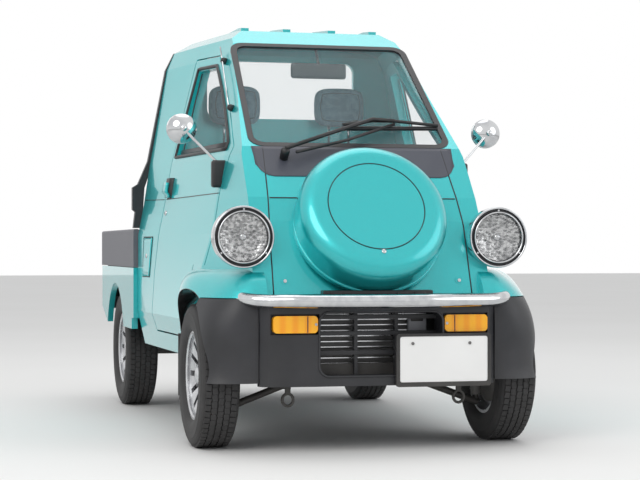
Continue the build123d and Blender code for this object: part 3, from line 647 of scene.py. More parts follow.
class Workshop:
    """Makes meshes in place and gives them a finish."""

    def __init__(self, finishes: Finishes) -> None:
        """Keep the finishes.

        Args:
            finishes: The truck's materials.
        """
        self.finishes = finishes

    def mesh(self, name: str, points: list[Point], faces: list[tuple[int, ...]], material: Material,
             smooth: bool = True) -> Piece:
        """An object at the origin from points and faces, with doubles and slivers merged.

        Args:
            name: The object's name.
            points: Its vertices.
            faces: Its faces.
            material: Its finish.
            smooth: Whether its faces are shaded smooth.

        Returns:
            The object.
        """
        data = bpy.data.meshes.new(name)
        data.from_pydata([tuple(point) for point in points], [], faces)
        work = bmesh.new()
        work.from_mesh(data)
        bmesh.ops.remove_doubles(work, verts=work.verts, dist=1e-6)
        bmesh.ops.dissolve_degenerate(work, edges=work.edges, dist=1e-7)
        bmesh.ops.recalc_face_normals(work, faces=work.faces)
        for face in work.faces:
            face.smooth = smooth
        work.to_mesh(data)
        work.free()
        data.materials.append(material)
        return placed(name, data)

    def dots(self, name: str, points: Iterable[Point] = ((0, 0, 0),)) -> Piece:
        """An object of loose points, which feeds a node tree.

        Args:
            name: The object's name.
            points: The points.

        Returns:
            The object.
        """
        data = bpy.data.meshes.new(name)
        data.from_pydata([tuple(point) for point in points], [], [])
        return placed(name, data)

    def merged(self, name: str, parts: list[Piece]) -> Piece:
        """Join several objects into one.

        Args:
            name: The result's name.
            parts: The objects, which go away.

        Returns:
            The joined object.
        """
        for obj in bpy.context.selected_objects:
            obj.select_set(False)
        for obj in parts:
            obj.select_set(True)
        bpy.context.view_layer.objects.active = parts[0]
        bpy.ops.object.join()
        parts[0].name = name
        parts[0].select_set(False)
        return parts[0]

    def baked(self, obj: Piece) -> Piece:
        """Turn an object's modifiers into plain mesh.

        Args:
            obj: The object.

        Returns:
            The same object.
        """
        graph = bpy.context.evaluated_depsgraph_get()
        solid = bpy.data.meshes.new_from_object(obj.evaluated_get(graph))
        obj.modifiers.clear()
        obj.data = solid
        return obj

    def slab(self, name: str, low: Point, high: Point, material: Material, edge: float = 0.003) -> Piece:
        """A block between two corners, with its edges rounded.

        Args:
            name: The object's name.
            low: Its lowest corner.
            high: Its highest corner.
            material: Its finish.
            edge: The rounding of its edges.

        Returns:
            The object.
        """
        points = [(x, y, z) for x in (low[0], high[0]) for y in (low[1], high[1]) for z in (low[2], high[2])]
        faces = [(0, 1, 3, 2), (4, 6, 7, 5), (0, 4, 5, 1), (2, 3, 7, 6), (0, 2, 6, 4), (1, 5, 7, 3)]
        block = self.mesh(name, points, faces, material)
        tool = block.modifiers.new("round", "BEVEL")
        tool.width, tool.segments = edge, 3
        tool.limit_method, tool.angle_limit = "ANGLE", math.radians(35)
        tool.harden_normals = False
        return self.baked(block)

    def tube(self, name: str, path: Iterable[Point], radius: float, material: Material, sides: int = 14,
             closed: bool = False) -> Piece:
        """A round bar along a path, with closed ends.

        Args:
            name: The object's name.
            path: The points it follows.
            radius: Its radius.
            material: Its finish.
            sides: Faces around it.
            closed: Whether the path is a loop.

        Returns:
            The object.
        """
        line = [Vector(point) for point in path]
        count = len(line)
        points: list[Point] = []
        normal = None
        for index, here in enumerate(line):
            before = line[index - 1] if index or closed else here
            after = line[(index + 1) % count] if index < count - 1 or closed else here
            along = (after - before).normalized()
            if normal is None:
                normal = along.orthogonal().normalized()
            normal = (normal - along * normal.dot(along)).normalized()
            across = along.cross(normal)
            points += [here + (normal * math.cos(turn) + across * math.sin(turn)) * radius
                       for turn in ring_angles(sides)]
        faces = []
        for ring in range(count if closed else count - 1):
            start, following = ring * sides, ((ring + 1) % count) * sides
            for step in range(sides):
                beside = (step + 1) % sides
                faces.append((start + step, start + beside, following + beside, following + step))
        if not closed:
            faces.append(tuple(range(sides)))
            faces.append(tuple(range((count - 1) * sides, count * sides)))
        return self.mesh(name, points, faces, material)

    def lathe(self, name: str, profile: list[Flat], centre: Point, axis: Point, material: Material,
              steps: int = 64) -> Piece:
        """A turned form, closed at both ends of its profile.

        Args:
            name: The object's name.
            profile: Points as (distance along the axis, radius).
            centre: The axis's origin.
            axis: The axis's direction.
            material: Its finish.
            steps: Faces around it.

        Returns:
            The object.
        """
        first, last = profile[0], profile[-1]
        if last[1] == 0.0 and first[1] > 0.0:
            profile = [(first[0], 0.0), *profile]
        elif last[1] > 0.0 and first[1] > 0.0 and first != last:
            profile = [*profile, first]
        along = Vector(axis).normalized()
        side = along.orthogonal().normalized()
        up = along.cross(side)
        points: list[Point] = []
        for turn in ring_angles(steps):
            out = side * math.cos(turn) + up * math.sin(turn)
            points += [Vector(centre) + along * far + out * radius for far, radius in profile]
        size = len(profile)
        faces = []
        for step in range(steps):
            one, two = step * size, ((step + 1) % steps) * size
            faces += [(one + k, one + k + 1, two + k + 1, two + k) for k in range(size - 1)]
        return self.mesh(name, points, faces, material)

    def border(self, name: str, outer: list[Point], inner: list[Point], lift: Vector,
               material: Material) -> Piece:
        """A flat border between two outlines with the same number of points, with a thickness.

        Args:
            name: The object's name.
            outer: The outer outline.
            inner: The inner outline.
            lift: The border's thickness as a vector.
            material: Its finish.

        Returns:
            The object.
        """
        low = [Vector(point) for point in outer + inner]
        one, two, three = (len(outer) * k for k in (1, 2, 3))
        faces = []
        for k in range(one):
            n = (k + 1) % one
            faces += [(k, n, one + n, one + k), (two + k, three + k, three + n, two + n),
                      (k, two + k, two + n, n), (one + k, one + n, three + n, three + k)]
        return self.mesh(name, low + [point + lift for point in low], faces, material, smooth=False)

    def slabs(self, body: str, *rows: tuple) -> None:
        """Make rounded blocks that ride on one body.

        Args:
            body: The body.
            *rows: What slab takes, for each block.
        """
        for row in rows:
            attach(self.slab(*row), body)

    def lathes(self, body: str, axis: Point, *rows: tuple) -> None:
        """Make turned forms that share an axis's direction and ride on one body.

        Args:
            body: The body.
            axis: The direction.
            *rows: Name, profile, centre, finish and steps of each form.
        """
        for name, profile, centre, material, steps in rows:
            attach(self.lathe(name, profile, centre, axis, material, steps), body)


def rounded_outline(corners: list[Flat], radius: float, steps: int = 7) -> list[Flat]:
    """A flat outline with its corners rounded.

    Args:
        corners: The outline's corners in order.
        radius: The rounding.
        steps: Points on each rounding.

    Returns:
        The rounded outline.
    """
    result = []
    for k, corner in enumerate(corners):
        here = Vector(corner)
        back = (Vector(corners[k - 1]) - here).normalized()
        ahead = (Vector(corners[(k + 1) % len(corners)]) - here).normalized()
        half = back.angle(ahead) / 2
        centre = here + (back + ahead).normalized() * (radius / math.sin(half))
        first, last = (here + way * (radius / math.tan(half)) - centre for way in (back, ahead))
        turn = first.angle_signed(last)
        for step in range(steps):
            result.append(tuple(centre + Matrix.Rotation(-turn * step / (steps - 1), 2) @ first))
    return result


def rectangle(low: Flat, high: Flat) -> list[Flat]:
    """The four corners of a rectangle, in order."""
    return [low, (high[0], low[1]), high, (low[0], high[1])]


# ---------------------------------------------------------------------------------- repeated pieces
class NodeTree(Nodes):
    """A Geometry Nodes tree with named inputs, which leaves a plain mesh."""

    def __init__(self, name: str, material: Material, **inputs: float) -> None:
        """Open a tree.

        Args:
            name: The tree's name.
            material: The finish it sets at its end.
            **inputs: Value by input name, with underscores for spaces; whole numbers make counts.
        """
        super().__init__(bpy.data.node_groups.new(name, "GeometryNodeTree"))
        self.material = material
        self.values: dict[str, float] = {}
        face = self.tree.interface
        face.new_socket("Geometry", in_out="INPUT", socket_type="NodeSocketGeometry")
        for label, value in inputs.items():
            kind = "NodeSocketInt" if isinstance(value, int) else "NodeSocketFloat"
            socket = face.new_socket(label.replace("_", " "), in_out="INPUT", socket_type=kind)
            self.values[socket.identifier] = value
        face.new_socket("Geometry", in_out="OUTPUT", socket_type="NodeSocketGeometry")
        self.given = self.add("NodeGroupInput").outputs
        self.leave = self.add("NodeGroupOutput")

    def set_on(self, points: Socket, piece: Socket, rotation: object = (0, 0, 0)) -> Socket:
        """Instances of a piece on points.

        Args:
            points: The points.
            piece: What is set on them.
            rotation: How each is turned.

        Returns:
            The instances.
        """
        inputs = {"Points": points, "Instance": piece, "Rotation": rotation}
        return self.add("GeometryNodeInstanceOnPoints", inputs).outputs["Instances"]

    def moved(self, geometry: Socket, offset: Point, turn: Point = (0, 0, 0)) -> Socket:
        """Geometry turned and then moved.

        Args:
            geometry: The geometry.
            offset: The move.
            turn: The turn in radians.

        Returns:
            The geometry in its new place.
        """
        inputs = {"Geometry": geometry, "Translation": offset, "Rotation": turn}
        return self.add("GeometryNodeTransform", inputs).outputs[0]

    def run(self, shop: Workshop, geometry: Socket, base: Piece) -> Piece:
        """End the tree with real geometry in its finish, run it on an object and keep a plain mesh.

        Args:
            shop: The workshop.
            geometry: What the tree has made.
            base: The object that feeds it.

        Returns:
            The object with the result as its mesh.
        """
        real = self.add("GeometryNodeRealizeInstances", {0: geometry})
        dress = self.add("GeometryNodeSetMaterial", {0: real.outputs[0], "Material": self.material})
        self.feed(self.leave.inputs[0], dress.outputs[0])
        tool = base.modifiers.new("nodes", "NODES")
        tool.node_group = self.tree
        for identifier, value in self.values.items():
            tool[identifier] = value
        obj = shop.baked(base)
        obj.data.materials.clear()
        obj.data.materials.append(self.material)
        return obj


@dataclass
class Studs:
    """Small round heads at given points, such as rivets, screws and wheel nuts."""

    shop: Workshop
    name: str
    body: str
    points: list[Point]
    axis: Point
    radius: float
    height: float
    material: Material
    sides: int = 12

    def build(self) -> None:
        """Make one mesh with every head."""
        tree = NodeTree(f"{self.name}_tree", self.material, Head_Radius=self.radius, Head_Height=self.height)
        radius, height = tree.given["Head Radius"], tree.given["Head Height"]
        inputs = {"Vertices": self.sides, "Radius": radius, "Depth": height}
        head = tree.add("GeometryNodeMeshCylinder", inputs)
        turn = Vector((0, 0, 1)).rotation_difference(Vector(self.axis)).to_euler()
        points = tree.add("GeometryNodeMeshToPoints", {0: tree.given["Geometry"]})
        heads = tree.set_on(points.outputs[0], head.outputs["Mesh"], tuple(turn))
        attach(tree.run(self.shop, heads, self.shop.dots(self.name, self.points)), self.body)


@dataclass
class WheelTread:
    """A tyre with tread blocks set round it in ribs, and the wheel's cap, nuts and drum."""

    shop: Workshop
    side: Side
    end: str
    axle_y: float
    half_track: float = 0.555
    radius: float = 0.260
    width: float = 0.145
    ribs: tuple[float, ...] = (-0.046, -0.0235, 0.0, 0.0235, 0.046)
    blocks: int = 64
    block_depth: float = 0.0088
    block_sink: float = 0.0045
    block: Flat = (0.95, 0.0185)
    outer_block: Flat = (0.84, 0.0195)
    skew: float = 7.0
    nut_count: int = 4
    nut_circle: float = 0.05

    @property
    def place(self) -> str:
        """The wheel as it stands in the names of nodes."""
        return f"{self.end}_{self.side.word}"

    def centre(self, out: float = 0.0) -> Point:
        """A point on the axle, measured outwards from the wheel's centre."""
        return (self.side.value * self.half_track + self.side.value * out, self.axle_y, self.radius)

    def carcass(self) -> Piece:
        """The turned casing with its sidewalls and beads.

        Returns:
            The casing.
        """
        half = [(0.052, 0.1575), (0.058, 0.163), (0.066, 0.172), (0.0705, 0.186), (self.width / 2, 0.207),
                (0.0705, 0.2275), (0.0712, 0.229), (0.0700, 0.2305), (0.0675, 0.241), (0.0635, 0.2495),
                (0.057, 0.2535), (0.046, 0.2545)]
        profile = [(-x, r) for x, r in half] + [(0.0, 0.255)] + half[::-1] + [(-half[0][0], half[0][1])]
        name = f"tyre_{self.place}_casing"
        return self.shop.lathe(name, profile, self.centre(), (1, 0, 0), self.shop.finishes.rubber, 128)

    def tread(self) -> Piece:
        """The tread blocks, each rib turned a little against its neighbour.

        Returns:
            The blocks as one mesh.
        """
        tree = NodeTree(f"tread_{self.place}", self.shop.finishes.rubber, Blocks=self.blocks,
                        Seat=self.radius - self.block_sink, Block_Depth=self.block_depth)
        gather = tree.add("GeometryNodeJoinGeometry")
        turn = 2 * math.pi / self.blocks
        last = len(self.ribs) - 1
        for index, offset in enumerate(self.ribs):
            outer = index in (0, last)
            inputs = {"Vertices": tree.given["Blocks"], "Radius": tree.given["Seat"]}
            ring = tree.add("GeometryNodeMeshCircle", inputs)
            share, width = self.outer_block if outer else self.block
            inputs = {"X": tree.given["Block Depth"], "Y": turn * self.radius * share, "Z": width}
            size = tree.add("ShaderNodeCombineXYZ", inputs)
            lug = tree.add("GeometryNodeMeshCube", {"Size": size.outputs[0]})
            where = tree.add("GeometryNodeInputPosition")
            aim = tree.add("FunctionNodeAlignEulerToVector", {"Vector": where.outputs[0]}, axis="X")
            tilt = math.radians(self.skew if index % 2 else -self.skew)
            inputs = {"Rotation": aim.outputs[0], "Rotate By": (tilt, 0, 0)}
            skewed = tree.add("FunctionNodeRotateEuler", inputs, space="LOCAL")
            rib = tree.set_on(ring.outputs[0], lug.outputs["Mesh"], skewed.outputs[0])
            tree.feed(gather.inputs[0], tree.moved(rib, (0, 0, offset), (0, 0, turn * 0.5 * (index % 2))))
        upright = tree.moved(gather.outputs[0], self.centre(), (0, math.radians(90), 0))
        return tree.run(self.shop, upright, self.shop.dots(f"tread_{self.place}"))

    def build(self) -> None:
        """Make the tyre, let it stand for its node, and add the wheel's small parts."""
        shop, place, out = self.shop, self.place, (self.side.value, 0, 0)
        body = f"wheel_{place}"
        tyre = shop.merged(f"tyre_{place}_dressed", [self.carcass(), self.tread()])
        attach(tyre, body)
        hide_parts(f"tyre_{place}")
        cap = [(0.0, 0.031), (0.008, 0.031), (0.0135, 0.027), (0.016, 0.018), (0.017, 0.0)]
        drum = [(-0.036, 0.0), (-0.036, 0.118), (0.004, 0.118), (0.006, 0.06), (0.006, 0.0)]
        shop.lathes(body, out, (f"hub_cap_{place}", cap, self.centre(0.032), shop.finishes.silver, 40),
                    (f"brake_drum_{place}", drum, self.centre(), shop.finishes.cast, 48))
        x, y, z = self.centre(0.029)
        nuts = [(x, y + self.nut_circle * math.cos(turn), z + self.nut_circle * math.sin(turn))
                for turn in ring_angles(self.nut_count, 0.5)]
        Studs(shop, f"wheel_nuts_{place}", body, nuts, out, 0.0085, 0.014, shop.finishes.chrome, 6).build()
        log.info("wheel %s dressed", place)


# ---------------------------------------------------------------------------------- lamps
@dataclass
class HeadLamp:
    """A round headlamp: bright ring, a black ring of painted shade in the gap, inner ring with screws,
    reflector with painted reflections, bulb, fluted glass.
    """

    shop: Workshop
    side: Side
    centre: Point = (0.475, -1.174, 0.762)
    radius: float = 0.088
    screw_circle: float = 0.0985
    screw_angles: tuple[float, ...] = (90, 215, 325)
    glass_seat: float = 0.0165
    glass_crown: float = 0.0125
    glass_wall: float = 0.0025
    bowl_depth: float = 0.018
    flutes: int = 17
    flute_pitch: float = 0.0095
    flute_radius: float = 0.0016

    def at(self, forward: float, x: float = 0.0, z: float = 0.0) -> Point:
        """A point measured forward of the lamp's centre and across its axis."""
        return (self.side.value * self.centre[0] + x, self.centre[1] - forward, self.centre[2] + z)

    def rings(self) -> None:
        """The outer ring, a black ring of painted shade in the gap, the inner ring and its screws."""
        f, word, seat = self.shop.finishes, self.side.word, self.at(0.0)
        outer = [(0.006, 0.1105), (0.014, 0.1112), (0.021, 0.1105), (0.0245, 0.1080), (0.023, 0.1040),
                 (0.0155, 0.1026), (0.006, 0.1026)]
        # A thin black ring fills the gap between the two bright rings as painted shade.
        gap = [(0.0152, 0.1030), (0.0162, 0.1028), (0.0162, 0.0935), (0.0152, 0.0933)]
        inner = [(0.009, 0.0938), (0.0245, 0.0942), (0.0270, 0.0925), (0.0270, 0.0900), (0.023, 0.0880),
                 (0.009, 0.0880)]
        self.shop.lathes("truck", AHEAD, (f"lamp_ring_{word}", outer, seat, f.chrome, 96),
                         (f"lamp_gap_{word}", gap, seat, f.seal, 72),
                         (f"lamp_bezel_{word}", inner, seat, f.chrome, 96))
        screws = [self.at(0.0185, self.screw_circle * math.cos(turn), self.screw_circle * math.sin(turn))
                  for turn in map(math.radians, self.screw_angles)]
        Studs(self.shop, f"lamp_screws_{word}", "truck", screws, AHEAD, 0.0036, 0.007, f.chrome, 10).build()

    def mirror(self) -> None:
        """The reflector with its bulb."""
        f, word, seat = self.shop.finishes, self.side.word, self.at(0.0)
        radii = [self.radius * k / 12 for k in range(13)]
        bowl = [(self.bowl_depth * (r / self.radius) ** 2 - 0.004, r) for r in radii]
        bowl += [(-0.007, self.radius), (-0.007, 0.0)]
        bulb = [(-0.003, 0.0), (-0.003, 0.014), (0.006, 0.013), (0.010, 0.008), (0.011, 0.0)]
        self.shop.lathes("truck", AHEAD, (f"lamp_reflector_{word}", bowl, seat, f.reflector, 72),
                         (f"lamp_bulb_{word}", bulb, seat, f.chrome, 24))

    def fluting(self) -> None:
        """The upright ribs inside the glass."""
        name, lens = f"lamp_flutes_{self.side.word}", self.shop.finishes.lens
        tree = NodeTree(name, lens, Rib_Radius=self.flute_radius)
        gather = tree.add("GeometryNodeJoinGeometry")
        for row in range(self.flutes):
            x = (row - (self.flutes - 1) / 2) * self.flute_pitch
            reach = math.sqrt(max(0.0, (self.radius * 0.93) ** 2 - x * x))
            inputs = {"Vertices": 8, "Radius": tree.given["Rib Radius"], "Depth": reach * 2}
            rib = tree.add("GeometryNodeMeshCylinder", inputs)
            far = 0.0145 + self.glass_crown * (1 - (x / self.radius) ** 2) * 0.55
            tree.feed(gather.inputs[0], tree.moved(rib.outputs["Mesh"], self.at(far, x)))
        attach(tree.run(self.shop, gather.outputs[0], self.shop.dots(name)), "truck")

    def glass(self) -> Piece:
        """The domed glass.

        Returns:
            The glass.
        """
        radii = [self.radius * k / 14 for k in range(14, -1, -1)]
        dome = [(self.glass_seat + self.glass_crown * (1 - (r / self.radius) ** 2), r) for r in radii]
        shell = dome + [(far - self.glass_wall, r) for far, r in reversed(dome)]
        name = f"lamp_glass_{self.side.word}"
        lens = self.shop.lathe(name, shell, self.at(0.0), AHEAD, self.shop.finishes.lens, 96)
        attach(lens, "truck")
        return lens

    def build(self) -> None:
        """Make the lamp; its glass stands for the plain lens."""
        self.rings()
        lens = self.glass()
        self.mirror()
        self.fluting()
        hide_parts("headlamp_lenses")
        log.info("headlamp %s", self.side.word)


# ---------------------------------------------------------------------------------- windscreen
@dataclass
class ScreenTrim:
    """The dark border of the windscreen, the wiper and the inside mirror."""

    shop: Workshop
    foot: Flat = (-0.904, 1.100)
    head: Flat = (-0.367, 1.543)
    half_foot: float = 0.394
    half_head: float = 0.362
    border: float = 0.023
    lift: float = 0.0022
    sink: float = 0.008
    outer_corner: float = 0.055
    inner_corner: float = 0.040
    spindle: Point = (-0.272, -0.962, 1.074)
    second_spindle: Point = (-0.232, -0.962, 1.066)

    def on_screen(self, x: float, share: float, lift: float = 0.0) -> Point:
        """A point on the screen's plane.

        Args:
            x: Its width.
            share: 0 at the foot, 1 at the head.
            lift: Distance out of the plane.

        Returns:
            The point.
        """
        foot, head = Vector((0, *self.foot)), Vector((0, *self.head))
        run = head - foot
        out = Vector((0, -run.z, run.y)).normalized()
        return tuple(foot + run * share + out * lift + Vector((x, 0, 0)))

    def outline(self, inset: float, corner: float) -> list[Point]:
        """The screen's outline, inset and with rounded corners, a little proud of the plane.

        Args:
            inset: How far it lies inside the screen's edge.
            corner: The rounding.

        Returns:
            Its points.
        """
        length = (Vector(self.head) - Vector(self.foot)).length
        foot, head, top = self.half_foot - inset, self.half_head - inset, length - inset
        flat = rounded_outline([(-foot, inset), (foot, inset), (head, top), (-head, top)], corner)
        return [self.on_screen(x, along / length, self.lift) for x, along in flat]

    def seal(self) -> None:
        """The border between the glass and the body."""
        depth = Vector(self.on_screen(0, 0, -self.sink)) - Vector(self.on_screen(0, 0, self.lift))
        outer, inner = self.outline(0.0, self.outer_corner), self.outline(self.border, self.inner_corner)
        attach(self.shop.border("screen_seal", outer, inner, depth, self.shop.finishes.seal), "truck")

    def wiper(self) -> None:
        """The single wiper: a spindle, two parallel rods and a blade on the glass."""
        shop, black = self.shop, self.shop.finishes.black
        hub = [(-0.03, 0.016), (0.010, 0.017), (0.020, 0.013), (0.022, 0.0)]
        shop.lathes("truck", (0, -0.75, 0.66), ("wiper_spindle", hub, self.spindle, black, 20))
        pivot, second = Vector(self.spindle), Vector(self.second_spindle)
        left, right = (-0.020, 0.150), (0.360, 0.165)
        start, end = self.on_screen(*left, 0.030), self.on_screen(*right, 0.026)
        crown = Vector(self.on_screen(0.10, 0.178, 0.044))
        middle = Vector(self.on_screen(0.185, 0.172, 0.040))
        long_arm = [pivot + Vector((0, -0.014, 0.016)), pivot.lerp(crown, 0.45) + Vector((0, -0.014, 0.010)),
                    crown, middle]
        short_arm = [second + Vector((0, -0.012, 0.010)),
                     second.lerp(middle, 0.5) + Vector((0, -0.016, -0.010)), middle + Vector((0, 0, -0.012))]
        back = [start, crown + Vector((0, 0.006, -0.006)), middle, end]
        edge = [self.on_screen(*(a + (b - a) * k / 6 for a, b in zip(left, right)), 0.012) for k in range(7)]
        for name, path, radius, material in (
                ("wiper_arm_a", long_arm, 0.0078, black), ("wiper_arm_b", short_arm, 0.0058, black),
                ("wiper_blade_back", back, 0.0062, black),
                ("wiper_blade_rubber", edge, 0.0085, shop.finishes.seal)):
            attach(shop.tube(name, path, radius, material), "truck")

    def inside_mirror(self) -> None:
        """The mirror behind the screen, on its stalk from the roof."""
        f = self.shop.finishes
        self.shop.slabs(
            "truck", ("inside_mirror_shell", (-0.115, -0.402, 1.405), (0.115, -0.378, 1.468), f.black, 0.012),
            ("inside_mirror_face", (-0.108, -0.379, 1.411), (0.108, -0.3755, 1.462), f.mirror, 0.0015))
        path = [(0, -0.392, 1.462), (0, -0.372, 1.490), (0, -0.335, 1.540)]
        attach(self.shop.tube("inside_mirror_stalk", path, 0.006, f.black), "truck")

    def build(self) -> None:
        """Make the border, wiper and mirror."""
        self.seal()
        self.wiper()
        self.inside_mirror()
        log.info("windscreen trim")


# ---------------------------------------------------------------------------------- seats
@dataclass
class Seat:
    """One seat: cushion, back and headrest as padded forms over their plain solids."""

    shop: Workshop
    person: str
    headrest: tuple[Point, Point]
    lean: float = 0.055
    back_top: float = 1.185
    back_seam_top: float = 1.130
    stem_shift: float = 0.045
    stem_ends: Flat = (1.165, 1.285)
    squareness: float = 5.0
    swell_cap: float = 0.010
    swell_frames: int = 12

    def form(self, name: str, box: tuple[Vector, Vector], crown: Point, lean: float, inset: float) -> Piece:
        """A crowned pad inside a box, swelled by a short cloth simulation.

        Args:
            name: The object's name.
            box: The box's lowest and highest corners.
            crown: How far the middle of each pair of faces stands out.
            lean: How far the top moves back from the bottom.
            inset: How far the unswelled form lies inside the box.

        Returns:
            The pad.
        """
        low, high = box
        middle, half = (low + high) / 2, (high - low) / 2 - Vector((inset, inset, inset))
        crown, power = Vector(crown), self.squareness
        work = bmesh.new()
        bmesh.ops.create_cube(work, size=2.0)
        bmesh.ops.subdivide_edges(work, edges=work.edges, cuts=13, use_grid_fill=True)
        for vert in work.verts:
            unit = vert.co / sum(abs(part) ** power for part in vert.co) ** (1 / power)
            pull = Vector([1 - part ** 2 for part in unit])
            place = Vector((unit.x * half.x, unit.y * half.y, unit.z * half.z))
            for axis, (one, two) in enumerate(((1, 2), (0, 2), (0, 1))):
                rise = crown[axis] * pull[one] * pull[two]
                place[axis] += math.copysign(rise, unit[axis]) * abs(unit[axis])
            place.y += lean * (place.z + half.z) / (2 * half.z)
            vert.co = middle + place - Vector((0, lean / 2, 0))
        data = bpy.data.meshes.new(name)
        bmesh.ops.recalc_face_normals(work, faces=work.faces)
        work.to_mesh(data)
        work.free()
        pad = placed(name, data)
        data.materials.append(self.shop.finishes.cloth)
        self.swell(pad)
        for face in pad.data.polygons:
            face.use_smooth = True
        return pad

    def swell(self, pad: Piece) -> None:
        """Blow a pad up like stuffed cloth, with a cap on how far a point moves.

        Args:
            pad: The pad.
        """
        net = pad.modifiers.new("net", "REMESH")
        net.mode, net.voxel_size = "VOXEL", 0.011
        self.shop.baked(pad)
        before = [vert.co.copy() for vert in pad.data.vertices]
        cloth = pad.modifiers.new("swell", "CLOTH").settings
        cloth.use_pressure, cloth.uniform_pressure_force, cloth.quality = True, 4.0, 4
        cloth.effector_weights.gravity = 0.0
        scene = bpy.context.scene
        for number in range(1, self.swell_frames + 1):
            scene.frame_set(number)
        self.shop.baked(pad)
        for vert, start in zip(pad.data.vertices, before):
            step = vert.co - start
            if step.length > self.swell_cap:
                vert.co = start + step.normalized() * self.swell_cap
        scene.frame_set(1)
        pad.data.materials.clear()
        pad.data.materials.append(self.shop.finishes.cloth)
        pad.modifiers.new("even", "SMOOTH").iterations = 3
        self.shop.baked(pad)

    def seam(self, part: str, pad: Piece, corners: list[Point], aim: Point, bow: float = 0.04) -> None:
        """A welt sewn round a panel of a pad, laid on the pad's skin.

        Args:
            part: The pad's name on the seat.
            pad: The pad.
            corners: The panel's corners, outside the pad.
            aim: Direction from the corners to the pad.
            bow: Radius at the panel's corners.
        """
        tree = BVHTree.FromObject(pad, bpy.context.evaluated_depsgraph_get())
        ends, aim = [Vector(corner) for corner in corners], Vector(aim)
        middle = sum(ends, Vector()) / len(ends)
        path = []
        for here, there in zip(ends, ends[1:] + ends[:1]):
            for k in range(12):
                spot = here.lerp(there, k / 12)
                near = min((spot - here).length, (there - spot).length)
                spot = spot.lerp(middle, 0.10 * max(0.0, 1 - near / bow))
                point = tree.ray_cast(spot, aim)[0]
                if point is not None:
                    path.append(point - aim * 0.0008)
        name = f"{self.person}_{part}_seam"
        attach(self.shop.tube(name, path, 0.0026, self.shop.finishes.dash, 8, closed=True), "truck")

    def seams(self, cushion: Piece, back: Piece, head: Piece) -> None:
        """The seams of the three pads.

        Args:
            cushion: The cushion's pad.
            back: The back's pad.
            head: The headrest's pad.
        """
        low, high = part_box(f"{self.person}_seat_cushion")
        outline = rectangle((low[0] + 0.055, low[1] + 0.05), (high[0] - 0.055, high[1] - 0.07))
        self.seam("cushion", cushion, [(x, y, 0.8) for x, y in outline], (0, 0, -1))
        low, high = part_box(f"{self.person}_seat_back")
        outline = rectangle((low[0] + 0.055, low[2] + 0.10), (high[0] - 0.055, self.back_seam_top))
        self.seam("back", back, [(x, -0.4, z) for x, z in outline], BEHIND)
        low, high = self.headrest
        outline = rectangle((low[0] + 0.024, low[2] + 0.022), (high[0] - 0.024, high[2] - 0.022))
        self.seam("headrest", head, [(x, -0.4, z) for x, z in outline], BEHIND, 0.05)

    def build(self) -> None:
        """Make the pads, their seams and the headrest's stems."""
        shop, person = self.shop, self.person
        low, high = (Vector(corner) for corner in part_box(f"{person}_seat_cushion"))
        cushion = self.form(f"{person}_cushion_pad", (low, high), (0.004, 0.004, 0.012), 0.0, 0.010)
        low, high = (Vector(corner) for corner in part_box(f"{person}_seat_back"))
        box = (low + Vector((0, 0.006, 0)), Vector((high.x, high.y - 0.006, self.back_top)))
        back = self.form(f"{person}_back_pad", box, (0.004, 0.006, 0.006), self.lean, 0.010)
        low, high = (Vector(corner) for corner in self.headrest)
        head = self.form(f"{person}_headrest_pad", (low, high), (0.003, 0.008, 0.006), 0.0, 0.003)
        for pad, node in ((cushion, f"{person}_seat_cushion"), (back, f"{person}_seat_back"),
                          (head, "headrests")):
            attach(pad, "truck")
            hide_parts(node)
        self.seams(cushion, back, head)
        x, y, _ = (low + high) / 2
        for number, shift in enumerate((-self.stem_shift, self.stem_shift)):
            path = [(x + shift, y + 0.005, z) for z in self.stem_ends]
            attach(shop.tube(f"{person}_headrest_stem_{number}", path, 0.006, shop.finishes.chrome), "truck")
        log.info("%s seat", person)


